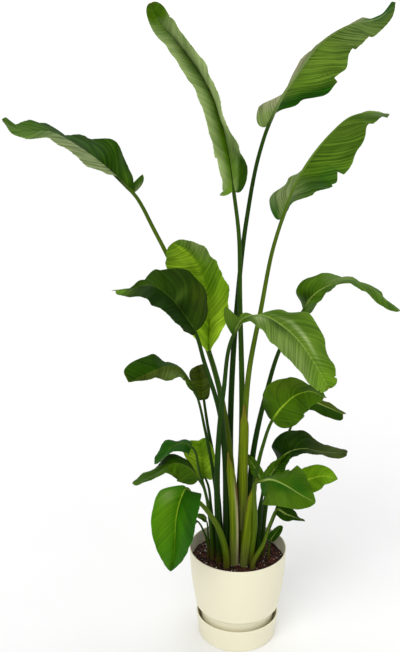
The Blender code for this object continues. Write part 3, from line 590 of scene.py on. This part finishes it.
def make_blade(leaf, skin, finish, seed):
    """A blade: its two halves joined at the rib, on a finer grid for a bigger leaf."""
    dice = np.random.default_rng(seed)
    rows, columns = 80, 12
    if leaf.half_width > 0.06:
        rows, columns = 220, 30
    elif leaf.half_width > 0.03:
        rows, columns = 130, 20
    # The rows crowd towards the base and the tip.
    even = np.linspace(0, 1, rows + 1)
    t = even - 0.45 * np.sin(2 * math.pi * even) / (2 * math.pi)
    halves = {half: half_blade(leaf, skin, half, t, columns, dice) for half in (LEFT, RIGHT)}

    def joined(left, right):
        return np.concatenate([left[:, :0:-1], right], axis=1)

    points = joined(halves[LEFT][0], halves[RIGHT][0])
    vein = joined(halves[LEFT][1], halves[RIGHT][1])
    depth = joined(-halves[LEFT][2], halves[RIGHT][2])
    tints = []
    for front in (True, False):
        left, right = (painted(skin, t, *halves[half][2:], half, front) for half in (LEFT, RIGHT))
        tints.append(with_last(joined(left, right), skin.gloss))
    veins = np.stack([vein, depth, np.full_like(vein, seed * 1.7)], axis=2)
    mesh = solid_sheet("blade_" + leaf.name, points, BLADE_THICKNESS, tints, veins, skin.stripes)
    place("blade_" + leaf.name, mesh, finish, "leaf_green")


def tube(name, path, radii, squash, groove, tints):
    """A closed tube along a path; squash flattens it from front to back and groove cuts a channel
    along its front."""
    sides = 20
    side, facing = side_and_facing(unit(np.gradient(path, axis=0)))
    angle = round_angles(sides)
    channel = 1 - groove[:, None] * np.exp(-(np.minimum(angle, 2 * math.pi - angle) / 0.5)**2)[None, :]
    reach = radii[:, None] * channel
    points = (path[:, None, :] + side[:, None, :] * (np.sin(angle) * reach)[:, :, None]
              + facing[:, None, :] * (np.cos(angle) * reach * squash[:, None])[:, :, None])
    index = np.arange(len(path) * sides).reshape(-1, sides)
    following = np.roll(index, -1, axis=1)
    faces = np.stack([index[:-1], following[:-1], following[1:], index[1:]], axis=-1).reshape(-1, 4).tolist()
    faces += [index[0, ::-1].tolist(), index[-1].tolist()]
    veins = np.stack(np.broadcast_arrays(np.sin(angle), np.cos(angle), run_along(path)[:, None]), axis=2)
    tints = np.repeat(tints, sides, axis=0)
    return new_mesh(name, points.reshape(-1, 3).tolist(), faces, tint=tints, veins=veins)


def make_stalk(leaf, skin, finish):
    """The stalk, from its foot in the soil to the blade, and on as the rib that thins away to the tip."""
    x, y = leaf.base
    given = [(x, y, SOIL_HEIGHT - STALK_SUNK), (x, y, SOIL_HEIGHT + 0.0104), *leaf.stalk, leaf.rib[0]]
    lower = smooth_path((x, y, SOIL_HEIGHT - 0.1), given, leaf.rib[1], 70)
    share = np.linspace(0, 1, len(lower))
    thick = leaf.neck + (leaf.foot * skin.foot_grow - leaf.neck) * (1 - share)**1.7
    thick = thick * (1 + STALK_BULGE * np.sin(math.pi * share) + STALK_TOP_GAIN * share)
    lower, share, thick = lower[:-1], share[:-1], thick[:-1]
    t = np.linspace(0.01, 0.94, 60)
    rib, _, side, facing, _ = rib_line(leaf, t)
    right, left = (np.radians(eased(turns, t))[:, None] for turns in (leaf.right, leaf.left))
    fold = (np.cos(right) + np.cos(left)) * facing + (np.sin(left) - np.sin(right)) * side
    fold = unit(fold + 0.05 * facing)
    thin = leaf.neck * (0.85 + 0.25 * np.exp(-t / 0.06)) * (1 - t)**0.8 + 0.0006
    upper = rib + fold * (skin.ridge * thin * 0.7 * np.clip(t / 0.06, 0, 1))[:, None]
    groove = np.concatenate([0.22 * np.clip(share * 4, 0, 1), np.zeros(len(thin))])
    squash = np.concatenate([np.linspace(0.85, 0.95, len(lower)), np.full(len(thin), 0.9)])
    lower_tint = blend(colour(skin.stalk), colour("stalk"), share[:, None]**2 * 0.5)
    foot = np.clip(1 - (lower[:, 2:] - SOIL_HEIGHT) / 0.05, 0, 1)
    lower_tint = blend(lower_tint, colour("dry") * 0.5, foot * 0.6)
    upper_tint = blend(lower_tint[-1], colour(skin.rib), np.clip(t / 0.15, 0, 1)[:, None])
    mesh = tube("stalk_" + leaf.name, np.concatenate([lower, upper]), np.concatenate([thick, thin]), squash,
                groove, with_last(np.concatenate([lower_tint, upper_tint]), 0.5))
    place("stalk_" + leaf.name, mesh, finish, "stalk_green")


def make_sheath(sheath, finish, seed):
    """An old leaf base: a clasping shell, green down its middle, with paper, husk and dry brown at its edges."""
    dice = np.random.default_rng(seed)
    rows, columns = 90, 28
    t = np.linspace(0, 1, rows + 1)
    below = np.array(sheath.middle[0]) - (0, 0, 0.1)
    beyond = np.array(sheath.middle[-1]) * 2 - np.array(sheath.middle[-2])
    middle = smooth_path(below, sheath.middle, beyond, rows)
    across = np.linspace(-1, 1, columns + 1)[None, :]
    spread = eased(sheath.spread, t) * (1 + 0.03 * ripple(t, 0.13, dice))
    angle = np.radians(eased(sheath.toward, t)[:, None] + spread[:, None] * across)
    radius = eased(sheath.radius, t)[:, None] + 0.0012 * across**6 + 0.0003 * np.cos(across * 40)
    round_it = np.stack([np.sin(angle), -np.cos(angle), 0 * angle], axis=2) * radius[:, :, None]
    points = middle[:, None, :] + round_it
    thickness = (0.0022 - 0.0016 * across**4)[:, :, None]
    edge = np.clip((np.abs(across) - 0.8 + 0.06 * ripple(t, 0.17, dice)[:, None]) / 0.16, 0, 1)
    top = np.clip((t - 0.86) / 0.14, 0, 1)[:, None]
    tint = blend(colour("sheath"), colour("sheath_foot"), np.clip(1 - t / 0.35, 0, 1)[:, None, None])
    for paint, start, fade, end, run in (("paper", 0.1, 0.25, 0.8, 0.3), ("husk", 0.5, 0.15, 0.85, 0.2)):
        share = np.clip((across - start) / fade, 0, 1) * np.clip((end - t[:, None]) / run, 0, 1)
        tint = blend(tint, colour(paint), share[:, :, None] * sheath.papery)
    tint = blend(tint, colour("dry"), np.clip(edge + top * 0.8, 0, 1)[:, :, None] * 0.85)
    tint = with_last(tint, 0.35)
    grain = [round_it[:, :, 0] * 60, round_it[:, :, 1] * 60, np.broadcast_to(middle[:, 2:], angle.shape)]
    mesh = solid_sheet("sheath_" + sheath.name, points, thickness, [tint, tint], np.stack(grain, axis=2))
    place("sheath_" + sheath.name, mesh, finish, "sheath_green")


# ---- finishes ----
class Socket:
    """One output of a finish's nodes; arithmetic on it adds Math nodes."""

    def __init__(self, finish, output):
        self.finish = finish
        self.output = output

    def maths(self, operation, first, second):
        return self.finish.node("Math", {"operation": operation}, {0: first, 1: second})

    def __add__(self, other):
        return self.maths("ADD", self, other)

    def __sub__(self, other):
        return self.maths("SUBTRACT", self, other)

    def __rsub__(self, other):
        return self.maths("SUBTRACT", other, self)

    def __mul__(self, other):
        return self.maths("MULTIPLY", self, other)

    __radd__ = __add__
    __rmul__ = __mul__


class Finish:
    """A material being put together round one Principled shader; fixed holds the shader's constants."""

    def __init__(self, name, **fixed):
        self.material = bpy.data.materials.new(name)
        self.material.use_nodes = True
        self.tree = self.material.node_tree
        self.surface = self.tree.nodes["Principled BSDF"]
        for socket, number in fixed.items():
            self.surface.inputs[socket.replace("_", " ")].default_value = number

    def node(self, kind, settings=None, sockets=None, output=0):
        """Adds a node: its settings first, then the values or links of its sockets."""
        made = self.tree.nodes.new("ShaderNode" + kind)
        for setting, value in (settings or {}).items():
            setattr(made, setting, value)
        for socket, value in (sockets or {}).items():
            self.feed(made.inputs[socket], value)
        return Socket(self, made.outputs[output])

    def feed(self, socket, value):
        if isinstance(value, Socket):
            self.tree.links.new(value.output, socket)
        else:
            socket.default_value = value

    def shade(self, paint, roughness, bump, height, strength):
        """Links the finish to the shader. bump is a height map whose full step stands height metres proud."""
        normal = self.node("Bump", {}, {"Height": bump, "Distance": height, "Strength": strength})
        for socket, value in (("Base Color", paint), ("Roughness", roughness), ("Normal", normal)):
            self.feed(self.surface.inputs[socket], value)
        return self.material

    def layer(self, name, output):
        """What the mesh carries at its points under this name: its Color, Alpha, Vector or number, Fac."""
        return self.node("Attribute", {"attribute_name": name}, output=output)

    def here(self):
        """Where a point of the surface is on its own object."""
        return self.node("TexCoord", output="Object")

    def split(self, vector):
        return [self.node("SeparateXYZ", {}, {0: vector}, output=axis) for axis in range(3)]

    def joined(self, x, y, z):
        return self.node("CombineXYZ", {}, {0: x, 1: y, 2: z})

    def noise(self, place, scale=1.0, detail=2.0, roughness=0.5):
        sockets = {"Vector": place, "Scale": scale, "Detail": detail, "Roughness": roughness}
        return self.node("TexNoise", {}, sockets)

    def step(self, value, low, high):
        """0 below low, 1 above high and eased between."""
        sockets = {"Value": value, "From Min": low, "From Max": high}
        return self.node("MapRange", {"interpolation_type": "SMOOTHSTEP"}, sockets)

    def mixed(self, share, first, second):
        return self.node("Mix", {"data_type": "RGBA"}, {0: share, 6: first, 7: second}, output=2)

    def toned(self, share, paint, dark, light):
        """A paint, each of its channels times dark's where share is 0 and times light's where it is 1."""
        tones = (self.node("VectorMath", {"operation": "MULTIPLY"}, {0: paint, 1: by}) for by in (dark, light))
        return self.mixed(share, *tones)


def solid_colour(name):
    return (*colour(name), 1)


def leaf_skin():
    """A waxy leaf: pleats and fine threads follow its veins, with slow clouds of paler and deeper green."""
    finish = Finish("leaf_skin", Specular_IOR_Level=0.09, Specular_Tint=(0.9, 1, 0.4, 1))
    gloss, stripes = finish.layer("tint", "Alpha"), finish.layer("stripes", "Fac")
    vein, depth, seed = finish.split(finish.layer("veins", "Vector"))
    pleat = finish.noise(finish.joined(vein * 130, depth * 5, seed), detail=1)
    fold = finish.noise(finish.joined(vein * 300, depth * 6, seed), detail=1)
    thread = finish.noise(finish.joined(vein * 620, depth * 9, seed), detail=1)
    cloud = finish.noise(finish.joined(vein * 16, depth * 18, seed))
    lines = finish.step(pleat * 0.4 + fold * 0.42 + thread * 0.18, 0.39, 0.61)
    light = (lines - 0.5) * stripes + finish.step(cloud, 0.3, 0.7) * 0.36 + 0.32
    skin = finish.toned(light, finish.layer("tint", "Color"), (0.5, 0.58, 0.4), (1.55, 1.42, 1.5))
    rough = 0.58 - gloss * 0.26 + thread * 0.1
    return finish.shade(skin, rough, pleat * 0.5 + fold * 0.4 + thread * 0.1, height=0.0014, strength=0.85)


def stalk_skin():
    """A smooth stalk with fine lengthwise threads and mottled green."""
    finish = Finish("stalk_skin", Specular_IOR_Level=0.12, Specular_Tint=(0.95, 1, 0.6, 1))
    x, y, along = finish.split(finish.layer("veins", "Vector"))
    thread = finish.noise(finish.joined(x * 9, y * 9, along * 14))
    cloud = finish.noise(finish.joined(x, y, along * 9), detail=3)
    light = finish.step(thread * 0.55 + cloud * 0.45, 0.35, 0.65)
    skin = finish.toned(light, finish.layer("tint", "Color"), (0.62, 0.66, 0.6), (1.4, 1.28, 1.3))
    return finish.shade(skin, 0.38 + thread * 0.16, thread, height=0.0006, strength=0.5)


def sheath_skin():
    """An old leaf base: olive green with lengthwise ribs and dry, mottled brown."""
    finish = Finish("sheath_skin", Specular_IOR_Level=0.1, Specular_Tint=(1, 0.97, 0.6, 1))
    x, y, along = finish.split(finish.layer("veins", "Vector"))
    thread = finish.noise(finish.joined(x * 6, y * 6, along * 7))
    speck = finish.noise(finish.joined(x * 4, y * 4, along * 60), detail=4, roughness=0.7)
    light = finish.step(thread, 0.33, 0.67)
    skin = finish.toned(light, finish.layer("tint", "Color"), (0.66, 0.68, 0.6), (1.36, 1.26, 1.25))
    skin = finish.mixed(finish.step(speck, 0.62, 0.74) * 0.55, skin, solid_colour("bark"))
    return finish.shade(skin, 0.5 + thread * 0.2, thread * 0.7 + speck * 0.3, height=0.0008, strength=0.6)


def cream_plastic():
    """Satin moulded plastic: a very faint cloudiness and the fine grain of the mould."""
    finish = Finish("cream_plastic", Specular_IOR_Level=0.45)
    grain = finish.noise(finish.here(), scale=900, detail=1)
    cloud = finish.noise(finish.here(), scale=7, detail=3)
    skin = finish.mixed(cloud, solid_colour("cream_deep"), solid_colour("cream"))
    return finish.shade(skin, 0.36 + grain * 0.12, grain, height=0.00006, strength=0.35)


def potting_soil():
    finish = Finish("potting_soil", Specular_IOR_Level=0.3)
    clump = finish.noise(finish.here(), scale=120, detail=5, roughness=0.65)
    crumb = finish.noise(finish.here(), scale=480, detail=3, roughness=0.7)
    light = finish.step(clump * 0.5 + crumb * 0.5, 0.36, 0.66)
    skin = finish.mixed(light, solid_colour("soil_dark"), solid_colour("soil"))
    return finish.shade(skin, 0.82 + crumb * 0.12, clump * 0.6 + crumb * 0.4, height=0.003, strength=0.9)


def loose_bits():
    """Bark chips and perlite grains, in the colours that their meshes carry."""
    finish = Finish("bark_chip", Specular_IOR_Level=0.35)
    fibre = finish.noise(finish.here(), scale=420, detail=4, roughness=0.65)
    light = finish.step(fibre, 0.35, 0.66)
    skin = finish.toned(light, finish.layer("tint", "Color"), (0.5, 0.5, 0.5), (1.5, 1.45, 1.4))
    return finish.shade(skin, 0.6 + fibre * 0.3, fibre, height=0.0012, strength=0.8)


def pale_floor():
    finish = Finish("pale_floor", Roughness=0.9, Specular_IOR_Level=0.1)
    cloud = finish.noise(finish.here(), scale=2)
    skin = finish.mixed(cloud, (0.9, 0.9, 0.9, 1), (0.93, 0.93, 0.93, 1))
    finish.feed(finish.surface.inputs["Base Color"], skin)
    return finish.material


# ---- the pot, its saucer and the soil ----
def arc(centre, radius, start, end, steps):
    """Points on an arc in the (radius, height) plane, with angles in degrees."""
    angles = np.radians(np.linspace(start, end, steps + 1))
    return [(centre[0] + radius * math.cos(a), centre[1] + radius * math.sin(a)) for a in angles]


def circle(radius, height, angles):
    """Points round the pot's axis, from the front towards +X."""
    return [(radius * math.sin(a), -radius * math.cos(a), height) for a in angles]


def lathed(name, profile, steps=160):
    """A closed turned body. The (radius, height) profile is a loop: down the outside and up the inside."""
    points, rings = [], []
    for radius, height in profile:
        start = len(points)
        on_axis = radius < 1e-6
        points += [(0.0, 0.0, height)] if on_axis else circle(radius, height, round_angles(steps))
        rings.append([start] * steps if on_axis else list(range(start, start + steps)))
    faces = []
    for upper, lower in zip(rings, rings[1:] + rings[:1]):
        for i in range(steps):
            j = (i + 1) % steps
            corner = list(dict.fromkeys([upper[i], lower[i], lower[j], upper[j]]))
            if len(corner) > 2:
                faces.append(corner)
    return new_mesh(name, points, faces, sharp=40)


def pot_wall(shift):
    """(radius, height) down the pot's wall, shift metres in from its outside."""
    wall = []
    for share in np.linspace(0, 1, 24):
        radius = RIM_RADIUS + (WAIST_RADIUS - RIM_RADIUS) * share + POT_BELLY * math.sin(math.pi * share) - shift
        wall.append((radius, POT_HEIGHT + (WAIST_HEIGHT + EDGE_ROUND * 2 - POT_HEIGHT) * share))
    return wall


def make_pot(finish):
    """The pot: a thin rounded lip, a wall that leans in, a turned-under waist and a foot with the floor in it."""
    lip = POT_WALL / 2
    under_round = EDGE_ROUND * 2
    foot_round = 0.003
    foot_bottom = SAUCER_FLOOR + FOOT_GAP
    inner_foot = FOOT_RADIUS - 0.002 - POT_WALL
    inner_floor = POT_FLOOR + POT_WALL
    outside = pot_wall(0)
    outside[0] = (outside[0][0], outside[0][1] - lip * 0.7)
    outside += arc((WAIST_RADIUS - under_round, WAIST_HEIGHT + under_round), under_round, -8, -86, 9)
    outside += arc((FOOT_RADIUS + FOOT_FLARE, FOOT_TOP - foot_round / 2), foot_round, 90, 180, 5)
    outside += [(FOOT_RADIUS + FOOT_FLARE / 2, FOOT_BEND_HEIGHT), (FOOT_RADIUS - 0.002, foot_bottom + 0.0008),
                (FOOT_RADIUS - 0.0028, foot_bottom)]
    under = [(inner_foot, foot_bottom), (inner_foot, POT_FLOOR), (0, POT_FLOOR)]
    inside = [(0, inner_floor), (inner_foot - foot_round, inner_floor)]
    inside += arc((inner_foot - foot_round, inner_floor + foot_round), foot_round, -80, 0, 4)
    inside += [(FOOT_RADIUS - POT_WALL, FOOT_TOP + 0.004),
               (WAIST_RADIUS - 2 * POT_WALL - 0.006, WAIST_HEIGHT + 0.002)]
    inside += pot_wall(POT_WALL)[:0:-1]
    over = arc((RIM_RADIUS - lip, POT_HEIGHT - lip), lip, 180, 10, 8)
    place("pot", lathed("pot", outside + under + inside + over), finish, "cream_plastic")


def make_saucer(finish):
    """The deep saucer: a slightly flared wall with a thin rounded lip and a soft corner to its flat base."""
    lip = SAUCER_WALL / 2
    height = SAUCER_HEIGHT - lip
    wall = [(SAUCER_RIM_RADIUS + (SAUCER_BASE_RADIUS - SAUCER_RIM_RADIUS) * s, height + (EDGE_ROUND - height) * s)
            for s in np.linspace(0, 1, 8)]
    corner = arc((SAUCER_BASE_RADIUS - EDGE_ROUND, EDGE_ROUND), EDGE_ROUND, -8, -90, 8)
    inner_round = 0.004
    inner_base = SAUCER_BASE_RADIUS - SAUCER_WALL - inner_round
    inner = [(0, 0), (0, SAUCER_FLOOR), (inner_base, SAUCER_FLOOR)]
    inner += arc((inner_base, SAUCER_FLOOR + inner_round), inner_round, -80, -5, 5)
    over = arc((SAUCER_RIM_RADIUS - lip, height), lip, 180, 8, 8)
    place("saucer", lathed("saucer", wall + corner + inner + over), finish, "cream_plastic")


def soil_top(x, y):
    """How high the loose top of the soil lies: low at the wall, a little heaped round the stalks."""
    heap = 0.004 * np.exp(-(np.hypot(x, y) / 0.07)**2)
    lumps = (np.sin(x * 310 + 1.3 * np.sin(y * 170)) * np.sin(y * 290 + 1.1 * np.sin(x * 210)) * 0.0016
             + np.sin(x * 97 + 2) * np.sin(y * 83 + 0.7) * 0.0022)
    return SOIL_HEIGHT + heap + lumps - 0.002


def make_soil(finish, crumb_finish):
    """The fill of the pot, with an uneven top, and the loose bits that lie on it."""
    dice = np.random.default_rng(41)
    wall = RIM_RADIUS - POT_WALL - 0.0035
    rings, steps = 46, 150
    angle = round_angles(steps)
    points = [(0.0, 0.0, float(soil_top(0, 0)))]
    for ring in range(1, rings + 1):
        radius = wall * ring / rings
        x, y = radius * np.sin(angle), -radius * np.cos(angle)
        z = soil_top(x, y) + dice.uniform(-0.0009, 0.0009, steps)
        points += list(zip(x.tolist(), y.tolist(), z.tolist()))
    narrow = FOOT_RADIUS - 0.009
    for height in (WAIST_HEIGHT + 0.006, POT_FLOOR + POT_WALL + 0.001):
        points += circle(narrow, height, angle)
    faces = [[0, 1 + i, 1 + (i + 1) % steps] for i in range(steps)]
    for ring in range(rings + 1):
        a = 1 + ring * steps
        for i in range(steps):
            j = (i + 1) % steps
            faces.append([a + i, a + steps + i, a + steps + j, a + j])
    faces.append(list(range(len(points) - steps, len(points))))
    place("soil", new_mesh("soil", points, faces, sharp=60), finish, "potting_soil")
    make_crumbs("bark_chips", 1500, (0.0022, 0.0062), ("bark", "bark_red", "soil"), 0.55, dice, crumb_finish)
    make_crumbs("perlite_grains", 460, (0.0011, 0.0027), ("perlite", "perlite", "dry"), 0.85, dice, crumb_finish)


def make_crumbs(name, count, sizes, paints, flat, dice, finish):
    """Loose bits on the soil: squashed, uneven lumps with ten corners, turned every way."""
    corner = np.array([(0, 0, 1), (1, 0, 0.25), (0.25, 1, 0.1), (-1, 0.2, 0.25), (-0.1, -1, 0.1), (0, 0, -1),
                       (0.7, 0.7, -0.4), (-0.7, 0.65, -0.35), (-0.65, -0.7, -0.4), (0.7, -0.65, -0.35)], float)
    lump = [(0, 1, 2), (0, 2, 3), (0, 3, 4), (0, 4, 1), (1, 9, 6), (1, 6, 2), (2, 6, 7), (2, 7, 3), (3, 7, 8),
            (3, 8, 4), (4, 8, 9), (4, 9, 1), (5, 6, 9), (5, 7, 6), (5, 8, 7), (5, 9, 8)]
    wall = RIM_RADIUS - POT_WALL - 0.007
    points, faces, tints = [], [], []
    for _ in range(count):
        radius, angle = wall * math.sqrt(dice.uniform()), dice.uniform(0, 2 * math.pi)
        x, y = radius * math.sin(angle), -radius * math.cos(angle)
        size = dice.uniform(*sizes)
        uneven = corner * (1 + dice.uniform(-0.25, 0.25, corner.shape))
        shape = uneven * size * (1, dice.uniform(0.45, 1), flat * dice.uniform(0.5, 1))
        spin, tip, roll = dice.uniform(0, 2 * math.pi), dice.normal(0, 0.35), dice.normal(0, 0.35)
        turn_z = np.array([(math.cos(spin), -math.sin(spin), 0), (math.sin(spin), math.cos(spin), 0), (0, 0, 1)])
        turn_y = np.array([(math.cos(tip), 0, math.sin(tip)), (0, 1, 0), (-math.sin(tip), 0, math.cos(tip))])
        turn_x = np.array([(1, 0, 0), (0, math.cos(roll), -math.sin(roll)), (0, math.sin(roll), math.cos(roll))])
        shape = shape @ turn_y.T @ turn_x.T @ turn_z.T
        start = len(points)
        points += (shape + (x, y, float(soil_top(x, y)) + size * flat * 0.3)).tolist()
        faces += [[start + i for i in face] for face in lump]
        shade = colour(paints[dice.integers(len(paints))]) * dice.uniform(0.6, 1.25)
        tints += [(*np.clip(shade, 0, 1), 1)] * len(corner)
    place(name, new_mesh(name, points, faces, sharp=40, tint=tints), finish, "potting_soil", "soil")


# ---- floor, light and camera ----
def make_floor(finish):
    reach, cells = 40.0, 8
    ticks = np.linspace(-reach, reach, cells + 1)
    points = [(x, y, 0.0) for y in ticks for x in ticks]
    row = cells + 1
    faces = [(a, a + 1, a + row + 1, a + row) for b in range(cells) for a in range(b * row, b * row + cells)]
    mesh = new_mesh("floor", points, faces)
    mesh.materials.append(finish)
    floor = add_object("floor", mesh)


def make_light(name, way, spread, power):
    """Soft even light that travels along way, as from a broad panel spread degrees across."""
    lamp = bpy.data.lights.new(name, "SUN")
    lamp.angle, lamp.energy = math.radians(spread), power
    tilt, heading = math.atan2(math.hypot(way[0], way[1]), -way[2]), math.atan2(way[1], way[0])
    add_object(name, lamp).rotation_euler = (tilt, 0, heading - math.pi / 2)


def make_studio():
    """A white room: the walls light the plant gently and show white behind it."""
    world = bpy.data.worlds.new("studio")
    bpy.context.scene.world = world
    world.use_nodes = True
    tree = world.node_tree
    walls, backdrop = tree.nodes["Background"], tree.nodes.new("ShaderNodeBackground")
    for shader, strength in ((walls, ROOM_LIGHT), (backdrop, BACKDROP_WHITE)):
        shader.inputs["Color"].default_value = (1, 1, 1, 1)
        shader.inputs["Strength"].default_value = strength
    ray = tree.nodes.new("ShaderNodeLightPath")
    either = tree.nodes.new("ShaderNodeMixShader")
    for place, source in enumerate((ray.outputs["Is Camera Ray"], walls.outputs[0], backdrop.outputs[0])):
        tree.links.new(source, either.inputs[place])
    tree.links.new(either.outputs[0], tree.nodes["World Output"].inputs[0])
    make_light("key_light", (1.0, 2.0, -2.1), 40, 1.45)
    make_light("fill_light", (-1.6, 1.6, -0.9), 60, 0.45)
    make_light("top_light", (-0.2, -0.3, -1.0), 50, 1.1)


def make_camera():
    lens = bpy.data.cameras.new("camera")
    lens.lens, lens.sensor_width = FOCAL_LENGTH, 36
    camera = add_object("camera", lens)
    camera.location = CAMERA_PLACE
    camera.rotation_euler = (math.radians(CAMERA_TILT), 0, 0)
    bpy.context.scene.camera = camera


def main():
    make_camera()
    make_studio()
    make_floor(pale_floor())
    bpy.context.scene.view_settings.view_transform = "Standard"
    cream = cream_plastic()
    make_pot(cream)
    make_saucer(cream)
    make_soil(potting_soil(), loose_bits())
    blade_finish, stalk_finish, sheath_finish = leaf_skin(), stalk_skin(), sheath_skin()
    for seed, leaf in enumerate(LEAVES, start=1):
        skin = SKINS[leaf.name]
        make_stalk(leaf, skin, stalk_finish)
        make_blade(leaf, skin, blade_finish, seed)
    for seed, sheath in enumerate(SHEATHS, start=60):
        make_sheath(sheath, sheath_finish, seed)


main()
